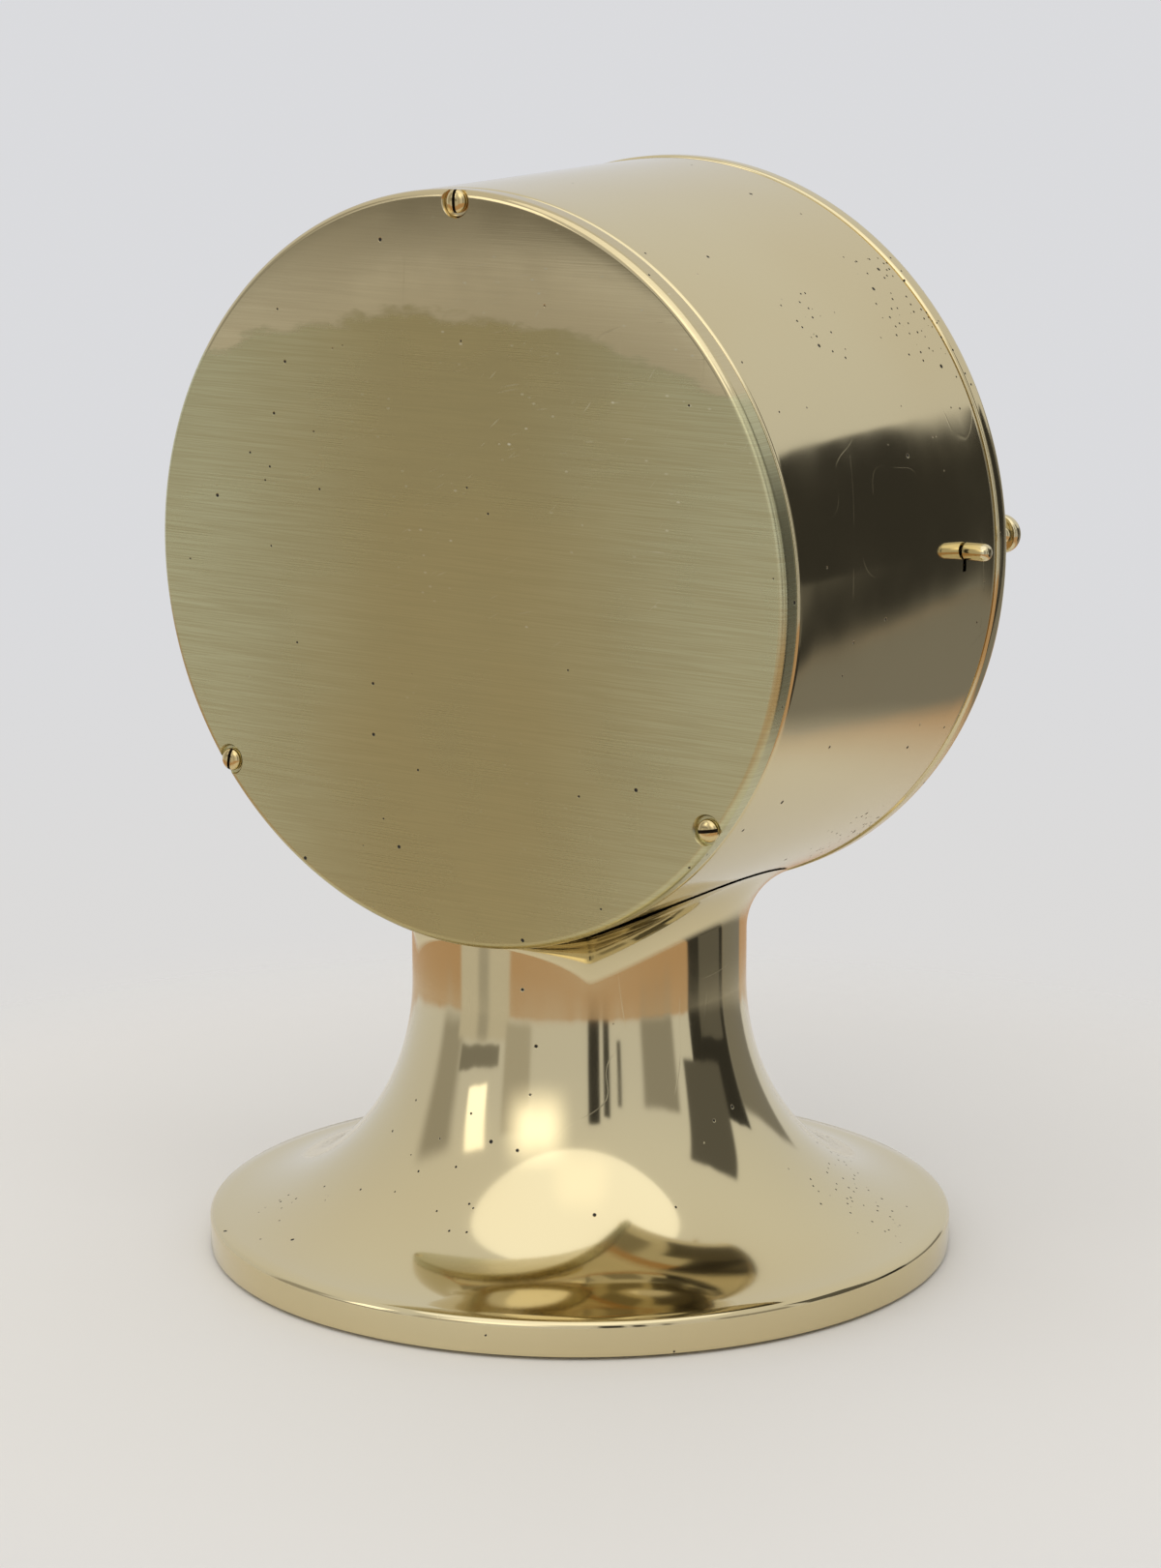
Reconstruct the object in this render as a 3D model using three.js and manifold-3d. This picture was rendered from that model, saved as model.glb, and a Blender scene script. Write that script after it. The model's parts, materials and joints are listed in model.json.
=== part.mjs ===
// Marine clock on a trumpet pedestal, all in millimetres, +Z up.
// The origin is the centre of the underside, the dial faces -Y and the rear cover faces +Y.
// The drum's axis runs along Y, so its pieces are turned about Y and sit in one raised group.

import * as THREE from 'three';
import { mergeVertices } from 'three/addons/utils/BufferGeometryUtils.js';
import Module from 'manifold-3d';

const wasm = await Module();
wasm.setup();

// Driving dimensions of the case
const DRUM_RADIUS = 100;
const DRUM_LIFT = 95.1;
const AXIS_HEIGHT = DRUM_LIFT + DRUM_RADIUS;
const DRUM_DRAFT = THREE.MathUtils.degToRad(1);
const DRUM_WALL = 4.5;
const DRUM_REAR_Y = 48.7;
const DRUM_FRONT_Y = -49.1;
const DRUM_EDGE_ROUND = 0.9;
const REAR_FLANGE_WIDTH = 9;
const REAR_FLANGE_DEPTH = 6;
const COVER_THICKNESS = 7;
const COVER_PLATE = 3;
const COVER_EDGE_ROUND = 2;
const BEZEL_OVERHANG = 0.5;
const BEZEL_DEPTH = 5.6;
const BEZEL_SIDE = 3.7;
const GLASS_INSET = 10;
const GLASS_RADIUS = DRUM_RADIUS - GLASS_INSET;
const GLASS_THICKNESS = 2.1;
const SIGHT_LIP = 4.8;
const SIGHT_RADIUS = GLASS_RADIUS - SIGHT_LIP;
const BEZEL_FACE_WIDTH = 7.1;

// Driving dimensions of the pedestal
const BASE_RADIUS = 103.25;
const BASE_EDGE_TOP = 10.4;
const BASE_LIFT = 0.6;
const NECK_RADIUS = 46.2;
const NECK_BOTTOM = 75.5;
const PEDESTAL_WALL = 5;
const CROWN_UNDERSIDE = 84;
const FILLET_MOST = 18;
const FELT_THICKNESS = 1.5;
const BASE_PLATE_THICKNESS = 2;
const BASE_PLATE_INSET = 5.25;
const BASE_PLATE_RADIUS = BASE_RADIUS - BASE_PLATE_INSET;
const BASE_SCREW_INSET = 4.5;

// Driving dimensions of the dial and the movement
const DIAL_INSET = 12;
const DIAL_RADIUS = DRUM_RADIUS - DIAL_INSET;
const DIAL_THICKNESS = 1.2;
const DIAL_FRONT_Y = -39.2;
const DIAL_SCREW_INSET = 6.5;
const DIAL_SCREW_CIRCLE = DIAL_RADIUS - DIAL_SCREW_INSET;
const PLATE_RADIUS = 54;
const PLATE_THICKNESS = 2;
const FRONT_PLATE_Y = -26;
const BACK_PLATE_Y = -6;
const PILLAR_CIRCLE = 48;
const PILLAR_ANGLES = [-90, -23, 146];
const SECONDS_OFFSET = 26;
const MINUTE_HAND = { length: 74, hub: 4, width: 6.4, tail: 14, y: [DIAL_FRONT_Y - 4.2, DIAL_FRONT_Y - 3.6] };
const HOUR_HAND = { length: 50, hub: 5.2, width: 9, tail: 0, y: [DIAL_FRONT_Y - 2.4, DIAL_FRONT_Y - 1.8] };
const SECONDS_REAR_Y = DIAL_FRONT_Y - 0.6;
const SECONDS_HAND = { length: 12.5, hub: 1.9, width: 1.4, tail: 4, y: [DIAL_FRONT_Y - 1, SECONDS_REAR_Y] };

// Tooth counts and modules: 48/6 x 45/6 = 60 turns and 24/8 x 24/6 = 12 turns
const CENTRE_TEETH = 48;
const CENTRE_PINION = 8;
const GREAT_TEETH = 48;
const THIRD_TEETH = 45;
const THIRD_PINION = 6;
const FOURTH_TEETH = 48;
const FOURTH_PINION = 6;
const ESCAPE_PINION = 6;
const ESCAPE_TEETH = 15;
const CANNON_TEETH = 8;
const MINUTE_TEETH = 24;
const MINUTE_PINION = 6;
const HOUR_TEETH = 24;
const GREAT_MODULE = 1.05;
const CENTRE_MODULE = 0.73;
const THIRD_MODULE = 0.67;
const FOURTH_MODULE = 0.55;
const CANNON_MODULE = 0.625;
const HOUR_MODULE = CANNON_MODULE * (CANNON_TEETH + MINUTE_TEETH) / (MINUTE_PINION + HOUR_TEETH);

// Fasteners: shank radius, head radius and head height
const COVER_SCREW = { shank: 1.5, head: 3.05, height: 2 };
const SMALL_SCREW = { shank: 1.2, head: 2.4, height: 1.5 };
const BASE_SCREW = { shank: 1.5, head: 3, height: 1.5 };
const PEDESTAL_BOLT = { shank: 3, head: 5.5, height: 4 };
const COVER_SCREW_INSET = 3;
const COVER_SCREW_CIRCLE = DRUM_RADIUS - COVER_SCREW_INSET;
const COVER_SCREW_ANGLES = { top: 0, left: 127, right: -127 };
const SLOT_WIDTH = 0.9;
const SLOT_DEPTH = 1;

// Clearances
const SEAM = 0.3;
const TOUCH = 0.1;
const BORE_PLAY = 0.15;
const RUNNING_GAP = 0.3;

// Facets of the turned pieces
const DRUM_SIDES = 56;
const PEDESTAL_SIDES = 42;
const DISC_SIDES = 36;
const ROD_SIDES = 12;
const SCREW_SIDES = 10;
const ARBOR_SIDES = 8;
const HOLE_SIDES = 10;
const ARC_SEGMENTS = 5;

// Finishes
function finish(color, roughness, metalness, extra = {}) {
  return new THREE.MeshStandardMaterial({ color, roughness, metalness, ...extra });
}
const POLISHED_BRASS = finish(0xd2b96e, 0.12, 1);
const BRUSHED_BRASS = finish(0xb5a563, 0.34, 1);
const MOVEMENT_BRASS = finish(0xc9a858, 0.3, 1);
const STEEL = finish(0x9a9c9e, 0.3, 1);
const BLUED_STEEL = finish(0x1a1d26, 0.25, 0.8);
const DIAL_WHITE = finish(0xf2efe6, 0.55, 0);
const CLEAR_GLASS = finish(0xe8f0ee, 0.03, 0, { transparent: true, opacity: 0.25 });
const GREEN_FELT = finish(0x24382b, 0.95, 0);

// Solids: welded, outward-facing geometry in, geometry out
function weld(geometry) {
  const bare = geometry.clone();
  bare.deleteAttribute('normal');
  bare.deleteAttribute('uv');
  const merged = mergeVertices(bare, 1e-4);
  const index = merged.index.array;
  const kept = [];
  for (let i = 0; i < index.length; i += 3) {
    const [a, b, c] = [index[i], index[i + 1], index[i + 2]];
    if (a !== b && b !== c && c !== a) kept.push(a, b, c);
  }
  merged.setIndex(kept);
  if (signedVolume(merged) < 0) {
    for (let i = 0; i < kept.length; i += 3) [kept[i + 1], kept[i + 2]] = [kept[i + 2], kept[i + 1]];
    merged.setIndex(kept);
  }
  return merged;
}

function signedVolume(geometry) {
  const corner = [new THREE.Vector3(), new THREE.Vector3(), new THREE.Vector3()];
  const index = geometry.index.array;
  let sum = 0;
  for (let i = 0; i < index.length; i += 3) {
    corner.forEach((v, k) => v.fromBufferAttribute(geometry.attributes.position, index[i + k]));
    sum += corner[0].dot(corner[1].cross(corner[2])) / 6;
  }
  return sum;
}

function toManifold(geometry) {
  const welded = weld(geometry);
  return new wasm.Manifold(new wasm.Mesh({
    numProp: 3,
    vertProperties: Float32Array.from(welded.attributes.position.array),
    triVerts: Uint32Array.from(welded.index.array),
  }));
}

function fromManifold(manifold) {
  const mesh = manifold.getMesh();
  const geometry = new THREE.BufferGeometry();
  geometry.setAttribute('position', new THREE.BufferAttribute(mesh.vertProperties, 3));
  geometry.setIndex(new THREE.BufferAttribute(mesh.triVerts, 1));
  return geometry;
}

function join(first, ...others) {
  return fromManifold(others.reduce((sum, piece) => sum.add(toManifold(piece)), toManifold(first)));
}

function cut(body, ...tools) {
  return fromManifold(tools.reduce((rest, tool) => rest.subtract(toManifold(tool)), toManifold(body)));
}

// Basic shapes
function turned(profile, sides = DRUM_SIDES) {
  const closed = [...profile, profile[0]].map(([r, y]) => new THREE.Vector2(r, y));
  return new THREE.LatheGeometry(closed, sides);
}

function turnedUpright(profile, sides) {
  return turned(profile, sides).rotateX(Math.PI / 2);
}

function rod(axis, radius, low, high, a = 0, b = 0, sides = ROD_SIDES, highRadius = radius) {
  const geometry = new THREE.CylinderGeometry(highRadius, radius, high - low, sides);
  const middle = (low + high) / 2;
  if (axis === 'x') return geometry.rotateZ(-Math.PI / 2).translate(middle, a, b);
  if (axis === 'z') return geometry.rotateX(Math.PI / 2).translate(a, b, middle);
  return geometry.translate(a, middle, b);
}

function block(x0, x1, y0, y1, z0, z1) {
  return new THREE.BoxGeometry(x1 - x0, y1 - y0, z1 - z0)
    .translate((x0 + x1) / 2, (y0 + y1) / 2, (z0 + z1) / 2);
}

// A flat shape drawn in X and Z and given its thickness along Y
function sheetOf(shape, y0, y1, curveSegments = ARC_SEGMENTS) {
  const options = { depth: y1 - y0, bevelEnabled: false, curveSegments };
  return new THREE.ExtrudeGeometry(shape, options).rotateX(Math.PI / 2).translate(0, y1, 0);
}

function shapeFrom(points) {
  return new THREE.Shape(points.map(([x, z]) => new THREE.Vector2(x, z)));
}

// A round hole as a polygon whose flats lie on the stated radius
function addHole(shape, x, z, radius) {
  const corners = [];
  const reach = radius / Math.cos(Math.PI / HOLE_SIDES);
  for (let i = HOLE_SIDES; i > 0; i -= 1) corners.push(polar(reach, (360 * i) / HOLE_SIDES, [x, z]));
  shape.holes.push(new THREE.Path(corners.map(([a, b]) => new THREE.Vector2(a, b))));
}

function disc(radius, holes, y0, y1, sides = DISC_SIDES) {
  const shape = new THREE.Shape();
  for (let i = 0; i < sides; i += 1) {
    const [x, z] = polar(radius, (360 * i) / sides);
    if (i === 0) shape.moveTo(x, z);
    else shape.lineTo(x, z);
  }
  holes.forEach(([x, z, r]) => addHole(shape, x, z, r));
  return sheetOf(shape, y0, y1);
}

function polar(radius, degrees, [x, z] = [0, 0]) {
  const angle = THREE.MathUtils.degToRad(degrees);
  return [x + radius * Math.cos(angle), z + radius * Math.sin(angle)];
}

// A point on a circle about the drum's axis, by its angle from 12 o'clock towards +X
function onClock(radius, degrees) {
  return polar(radius, 90 - degrees);
}

function bearing([ax, az], [bx, bz]) {
  return THREE.MathUtils.radToDeg(Math.atan2(bz - az, bx - ax));
}

// The right-hand meeting point of two circles about a and b
function meetingPoint([ax, az], ra, [bx, bz], rb) {
  const span = Math.hypot(bx - ax, bz - az);
  const along = (span ** 2 + ra ** 2 - rb ** 2) / (2 * span);
  const side = Math.sqrt(ra ** 2 - along ** 2);
  const [ux, uz] = [(bx - ax) / span, (bz - az) / span];
  return [ax + ux * along + uz * side, az + uz * along - ux * side];
}

// The model's tree
const clock = new THREE.Group();
const head = new THREE.Group();
head.position.z = AXIS_HEIGHT;
clock.add(head);

function place(group, name, geometry, material, [x, y, z] = [0, 0, 0]) {
  const mesh = new THREE.Mesh(weld(geometry), material);
  mesh.name = name;
  mesh.position.set(x, y, z);
  group.add(mesh);
}

// A slotted round-head screw along Y: the seat at y = 0, the head towards +Y
function slottedScrew({ shank, head: headRadius, height }, length, slotTurn = 0) {
  const profile = [
    [0, -length], [shank, -length], [shank, 0], [headRadius, 0],
    [headRadius * 0.92, height * 0.6], [0, height],
  ];
  const slot = block(-headRadius - 1, headRadius + 1, height - SLOT_DEPTH, height + 1,
    -SLOT_WIDTH / 2, SLOT_WIDTH / 2).rotateY(THREE.MathUtils.degToRad(slotTurn));
  return cut(turned(profile, SCREW_SIDES), slot);
}

// Drum: a cast shell with a little draft, flanged behind, with lugs for the dial
function drumRadiusAt(y) {
  return DRUM_RADIUS + Math.tan(DRUM_DRAFT) * (DRUM_REAR_Y - y);
}
const DRUM_FRONT_RADIUS = drumRadiusAt(DRUM_FRONT_Y);
const BEZEL_RADIUS = DRUM_FRONT_RADIUS + BEZEL_OVERHANG;
const BEZEL_REAR_Y = DRUM_FRONT_Y - SEAM;
const DIAL_REAR_Y = DIAL_FRONT_Y + DIAL_THICKNESS;
const LUG_FRONT_Y = DIAL_REAR_Y + TOUCH;
const LUG_DEPTH = 7;
const LUG_WIDTH = 12;
const LUG_INNER = DIAL_SCREW_CIRCLE - 4.5;
const DIAL_LUG_ANGLES = [0, 120, 240];
const BOLT_PAD = { halfWidth: 12, halfLength: 34, height: 7.5 };
const BOLT_Y = [-22, 22];

// Latch: a lever inside the wall at 9 o'clock, worked by a pin through a slot
const LATCH_INSET = 7;
const LATCH_X = LATCH_INSET - DRUM_RADIUS;
const LATCH_PLATE = 2;
const LATCH_PIN_Y = -32.35;
const LATCH_PIN_Z = 3.8;
const LATCH_TRAVEL = 4.2;
const LATCH_PIVOT = { y: 0, z: LATCH_PIN_Z - LATCH_TRAVEL / 2 };
const LATCH_TAB = { thickness: 1, height: 2.2 };
const LATCH_SLOT_WIDTH = 1.7;
const LATCH_KNOB = { radius: 2.35, length: 7.5 };
const PIVOT_SCREW_SHANK = 2;
const SPRING_POST = { y: 11, z: LATCH_PIVOT.z - 5.1, radius: 1.2 };

// Hinge at 3 o'clock
const HINGE = {
  x: DRUM_FRONT_RADIUS + 4.4, y: DRUM_FRONT_Y - SEAM / 2, knuckle: 3, pin: 1.1, halfHeight: 15,
};
const HINGE_MIDDLE = 4.8;
const HINGE_PLATE = { thickness: 3, rearY: -31, frontY: HINGE.y + HINGE.knuckle + 0.8 };
const HINGE_SCREW_Z = [9.5, -9.5];
const HINGE_SCREW_Y = -38;

function drumCase() {
  const e = DRUM_EDGE_ROUND;
  const flangeRadius = DRUM_RADIUS - REAR_FLANGE_WIDTH;
  const shell = turned([
    [DRUM_RADIUS - e, DRUM_REAR_Y], [flangeRadius, DRUM_REAR_Y],
    [flangeRadius, DRUM_REAR_Y - REAR_FLANGE_DEPTH],
    [DRUM_RADIUS - DRUM_WALL, DRUM_REAR_Y - REAR_FLANGE_DEPTH],
    [DRUM_FRONT_RADIUS - DRUM_WALL, DRUM_FRONT_Y], [DRUM_FRONT_RADIUS - e, DRUM_FRONT_Y],
    [drumRadiusAt(DRUM_FRONT_Y + e), DRUM_FRONT_Y + e], [drumRadiusAt(DRUM_REAR_Y - e), DRUM_REAR_Y - e],
  ]);
  const wallMiddle = DRUM_RADIUS - DRUM_WALL / 2;
  const lugs = DIAL_LUG_ANGLES.map((angle) =>
    block(-LUG_WIDTH / 2, LUG_WIDTH / 2, LUG_FRONT_Y, LUG_FRONT_Y + LUG_DEPTH, LUG_INNER, wallMiddle)
      .rotateY(THREE.MathUtils.degToRad(angle)));
  const pad = block(-BOLT_PAD.halfWidth, BOLT_PAD.halfWidth, -BOLT_PAD.halfLength, BOLT_PAD.halfLength,
    -wallMiddle, -DRUM_RADIUS + DRUM_WALL + BOLT_PAD.height);
  const latchFace = LATCH_X - LATCH_PLATE / 2 - RUNNING_GAP;
  const latchBoss = rod('x', 4, -wallMiddle, latchFace, LATCH_PIVOT.y, LATCH_PIVOT.z);
  const springPost = rod('x', SPRING_POST.radius, -wallMiddle, LATCH_X + 5, SPRING_POST.y, SPRING_POST.z);
  const coverHoles = Object.values(COVER_SCREW_ANGLES).map((angle) => {
    const [x, z] = onClock(COVER_SCREW_CIRCLE, angle);
    const r = COVER_SCREW.shank + BORE_PLAY;
    return rod('y', r, DRUM_REAR_Y - REAR_FLANGE_DEPTH + 0.5, DRUM_REAR_Y + 1, x, z);
  });
  const dialHoles = DIAL_LUG_ANGLES.map((angle) => {
    const [x, z] = onClock(DIAL_SCREW_CIRCLE, angle);
    return rod('y', SMALL_SCREW.shank + BORE_PLAY, LUG_FRONT_Y - 1, LUG_FRONT_Y + LUG_DEPTH - 1, x, z);
  });
  const boltHoles = BOLT_Y.map((y) => rod('z', PEDESTAL_BOLT.shank + BORE_PLAY,
    -DRUM_FRONT_RADIUS - 2, -DRUM_RADIUS + DRUM_WALL + BOLT_PAD.height - 1.5, 0, y));
  const slotHigh = LATCH_PIN_Z + LATCH_TAB.height / 2 + RUNNING_GAP;
  const slotLow = LATCH_PIN_Z - LATCH_TRAVEL - LATCH_TAB.height / 2 - RUNNING_GAP;
  const slot = block(-DRUM_FRONT_RADIUS - 2, -DRUM_RADIUS + DRUM_WALL + 3,
    LATCH_PIN_Y - LATCH_SLOT_WIDTH / 2, LATCH_PIN_Y + LATCH_SLOT_WIDTH / 2, slotLow, slotHigh);
  const pivotHole = rod('x', PIVOT_SCREW_SHANK + BORE_PLAY, -wallMiddle - 0.5, latchFace + 1,
    LATCH_PIVOT.y, LATCH_PIVOT.z);
  const hingeHoles = HINGE_SCREW_Z.map((z) =>
    rod('x', SMALL_SCREW.shank + BORE_PLAY, wallMiddle - 0.5, DRUM_FRONT_RADIUS + 2, HINGE_SCREW_Y, z));
  return cut(join(shell, ...lugs, pad, latchBoss, springPost),
    ...coverHoles, ...dialHoles, ...boltHoles, slot, pivotHole, ...hingeHoles);
}

// Pedestal: an elliptical trumpet whose neck sweeps up into the drum with a saddle fillet
function filletAt(azimuth) {
  const cosine = Math.cos(azimuth);
  const sine = Math.abs(Math.sin(azimuth));
  const saddle = (r) => {
    const radius = drumRadiusAt(r * Math.sin(azimuth)) + SEAM;
    return AXIS_HEIGHT - Math.sqrt(radius ** 2 - (r * cosine) ** 2);
  };
  const drumEnd = Math.min(DRUM_REAR_Y, -DRUM_FRONT_Y) - DRUM_EDGE_ROUND;
  const endLimit = (drumEnd - 0.4) / Math.max(sine, 1e-6);
  let reach = NECK_RADIUS + FILLET_MOST;
  let radius = FILLET_MOST;
  let slope = 0;
  for (let i = 0; i < 12; i += 1) {
    slope = Math.atan((saddle(reach + 0.01) - saddle(reach - 0.01)) / 0.02);
    radius = Math.min(FILLET_MOST, (endLimit - NECK_RADIUS) / (1 - Math.sin(slope)));
    reach = NECK_RADIUS + radius * (1 - Math.sin(slope));
  }
  const centre = [NECK_RADIUS + radius, saddle(reach) - radius * Math.cos(slope)];
  return { radius, centre, slope, reach, top: saddle(reach) };
}

function trumpetPoint(share, inset = 0) {
  const flare = BASE_RADIUS - NECK_RADIUS + inset;
  const drop = NECK_BOTTOM - BASE_EDGE_TOP + inset;
  const angle = (share * Math.PI) / 2;
  return [BASE_RADIUS - flare * Math.cos(angle), NECK_BOTTOM - drop * Math.sin(angle)];
}

const LEDGE_Z = FELT_THICKNESS + BASE_PLATE_THICKNESS + 2 * TOUCH;
const TRUMPET_STEPS = 8;
const FILLET_STEPS = 4;
function pedestalProfile(azimuth) {
  const { radius, centre, slope, reach, top } = filletAt(azimuth);
  const points = [[BASE_RADIUS - 0.6, BASE_LIFT], [BASE_RADIUS, BASE_LIFT + 0.6]];
  const cornerRound = 2;
  for (let i = 0; i <= 2; i += 1) {
    const [r, z] = polar(cornerRound, i * 45, [BASE_RADIUS - cornerRound, BASE_EDGE_TOP - cornerRound]);
    points.push([r, z]);
  }
  for (let i = TRUMPET_STEPS - 1; i >= 0; i -= 1) points.push(trumpetPoint(i / TRUMPET_STEPS));
  for (let i = 0; i <= FILLET_STEPS; i += 1) {
    const angle = Math.PI - (i / FILLET_STEPS) * (Math.PI / 2 - slope);
    points.push([centre[0] + radius * Math.cos(angle), centre[1] + radius * Math.sin(angle)]);
  }
  points.push([reach, top + 1.5], [0, top + 1.5], [0, CROWN_UNDERSIDE]);
  points.push([NECK_RADIUS - PEDESTAL_WALL, CROWN_UNDERSIDE]);
  for (let i = 0; i <= 3; i += 1) points.push(trumpetPoint(i / 4.1, PEDESTAL_WALL));
  const hollow = BASE_SCREW_CIRCLE - 5.5;
  points.push([hollow, LEDGE_Z], [BASE_PLATE_RADIUS + SEAM, LEDGE_Z], [BASE_PLATE_RADIUS + SEAM, BASE_LIFT]);
  return points;
}

// A closed profile swept once round Z, where the profile may change with the azimuth
function sweptAround(profileAt, sides) {
  const rings = [];
  for (let i = 0; i < sides; i += 1) {
    const azimuth = (2 * Math.PI * (i + 0.5)) / sides;
    rings.push(profileAt(azimuth).map(([r, z]) => [r * Math.cos(azimuth), r * Math.sin(azimuth), z]));
  }
  const count = rings[0].length;
  const index = [];
  for (let i = 0; i < sides; i += 1) {
    for (let k = 0; k < count; k += 1) {
      const [a, b] = [i * count + k, i * count + ((k + 1) % count)];
      const next = ((i + 1) % sides) * count;
      const [c, d] = [next + k, next + ((k + 1) % count)];
      index.push(a, c, b, b, c, d);
    }
  }
  const geometry = new THREE.BufferGeometry();
  geometry.setAttribute('position', new THREE.Float32BufferAttribute(rings.flat(2), 3));
  geometry.setIndex(index);
  return geometry;
}

const BASE_SCREW_CIRCLE = BASE_PLATE_RADIUS - BASE_SCREW_INSET;
const BASE_SCREW_ANGLES = [90, 210, 330];
const BASE_SCREW_LENGTH = 4.5;
function pedestal() {
  const margin = 8;
  const saddleTool = turned([
    [0, DRUM_REAR_Y + margin], [drumRadiusAt(DRUM_REAR_Y + margin) + SEAM, DRUM_REAR_Y + margin],
    [drumRadiusAt(DRUM_FRONT_Y - margin) + SEAM, DRUM_FRONT_Y - margin], [0, DRUM_FRONT_Y - margin],
  ]).translate(0, 0, AXIS_HEIGHT);
  const boltHoles = BOLT_Y.map((y) =>
    rod('z', PEDESTAL_BOLT.shank + BORE_PLAY, CROWN_UNDERSIDE - 1, AXIS_HEIGHT, 0, y));
  const screwHoles = BASE_SCREW_ANGLES.map((angle) => {
    const [x, y] = polar(BASE_SCREW_CIRCLE, angle);
    return rod('z', BASE_SCREW.shank + BORE_PLAY, LEDGE_Z - 1, LEDGE_Z + BASE_SCREW_LENGTH - 1, x, y);
  });
  return cut(sweptAround(pedestalProfile, PEDESTAL_SIDES), saddleTool, ...boltHoles, ...screwHoles);
}

function basePlate() {
  const low = FELT_THICKNESS + TOUCH;
  const plate = rod('z', BASE_PLATE_RADIUS, low, low + BASE_PLATE_THICKNESS, 0, 0, DISC_SIDES);
  const sinks = BASE_SCREW_ANGLES.map((angle) => {
    const [x, y] = polar(BASE_SCREW_CIRCLE, angle);
    const sink = rod('z', BASE_SCREW.head + BORE_PLAY, low - 0.01, low + BASE_SCREW.height, x, y,
      ROD_SIDES, BASE_SCREW.shank + BORE_PLAY);
    return join(sink, rod('z', BASE_SCREW.shank + BORE_PLAY, low, low + BASE_PLATE_THICKNESS + 1, x, y));
  });
  return cut(plate, ...sinks);
}

function baseScrew() {
  const { shank, head: headRadius, height } = BASE_SCREW;
  const low = FELT_THICKNESS + 2 * TOUCH;
  const profile = [[0, low], [headRadius, low], [shank, low + height - TOUCH],
    [shank, LEDGE_Z + BASE_SCREW_LENGTH - 1.3], [0, LEDGE_Z + BASE_SCREW_LENGTH - 1.3]];
  const slot = block(-4, 4, -SLOT_WIDTH / 2, SLOT_WIDTH / 2, low - 1, low + 0.7);
  return cut(turnedUpright(profile, ROD_SIDES), slot);
}

function pedestalBolt() {
  const { shank, head: headRadius, height } = PEDESTAL_BOLT;
  const seat = CROWN_UNDERSIDE - TOUCH;
  const tip = AXIS_HEIGHT - DRUM_RADIUS + DRUM_WALL + BOLT_PAD.height - 2;
  return join(rod('z', headRadius, seat - height, seat, 0, 0, 6), rod('z', shank, seat - 1, tip));
}

place(clock, 'pedestal', pedestal(), POLISHED_BRASS);
place(clock, 'base_plate', basePlate(), STEEL);
place(clock, 'base_felt', rod('z', BASE_PLATE_RADIUS, 0, FELT_THICKNESS, 0, 0, DISC_SIDES), GREEN_FELT);
BASE_SCREW_ANGLES.forEach((angle, i) => {
  const [x, y] = polar(BASE_SCREW_CIRCLE, angle);
  place(clock, `base_plate_screw_${i + 1}`, baseScrew(), STEEL, [x, y, 0]);
});
['front', 'rear'].forEach((end, i) =>
  place(clock, `pedestal_bolt_${end}`, pedestalBolt(), STEEL, [0, BOLT_Y[i], 0]));
place(head, 'drum_case', drumCase(), POLISHED_BRASS);

// Rear cover and its screws
const COVER_REAR_Y = DRUM_REAR_Y + SEAM;
const COVER_FACE_Y = COVER_REAR_Y + COVER_THICKNESS;
const SPOT_FACE = { radius: COVER_SCREW.head + 0.8, y: COVER_FACE_Y - 1.7 };
function rearCover() {
  const round = COVER_EDGE_ROUND;
  const cornerX = DRUM_RADIUS - round;
  const cornerY = COVER_FACE_Y - round;
  const rimWidth = REAR_FLANGE_WIDTH;
  const rim = [0, 30, 60, 90].map((angle) => polar(round, angle, [cornerX, cornerY]));
  const plate = turned([
    [0, COVER_FACE_Y - COVER_PLATE], [DRUM_RADIUS - rimWidth, COVER_FACE_Y - COVER_PLATE],
    [DRUM_RADIUS - rimWidth, COVER_REAR_Y], [DRUM_RADIUS - DRUM_EDGE_ROUND, COVER_REAR_Y],
    [DRUM_RADIUS, COVER_REAR_Y + DRUM_EDGE_ROUND], ...rim, [0, COVER_FACE_Y],
  ]);
  const holes = Object.values(COVER_SCREW_ANGLES).flatMap((angle) => {
    const [x, z] = onClock(COVER_SCREW_CIRCLE, angle);
    return [rod('y', COVER_SCREW.shank + BORE_PLAY, COVER_REAR_Y - 1, COVER_FACE_Y, x, z),
      rod('y', SPOT_FACE.radius, SPOT_FACE.y, COVER_FACE_Y + 1, x, z)];
  });
  return cut(plate, ...holes);
}

place(head, 'rear_cover', rearCover(), BRUSHED_BRASS);
const COVER_SLOT_TURNS = { top: 90, left: 80, right: 10 };
const coverScrewLength = SPOT_FACE.y + TOUCH - (DRUM_REAR_Y - REAR_FLANGE_DEPTH + 1);
Object.entries(COVER_SCREW_ANGLES).forEach(([side, angle]) => {
  const [x, z] = onClock(COVER_SCREW_CIRCLE, angle);
  place(head, `rear_cover_screw_${side}`, slottedScrew(COVER_SCREW, coverScrewLength, COVER_SLOT_TURNS[side]),
    POLISHED_BRASS, [x, SPOT_FACE.y + TOUCH, z]);
});

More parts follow.
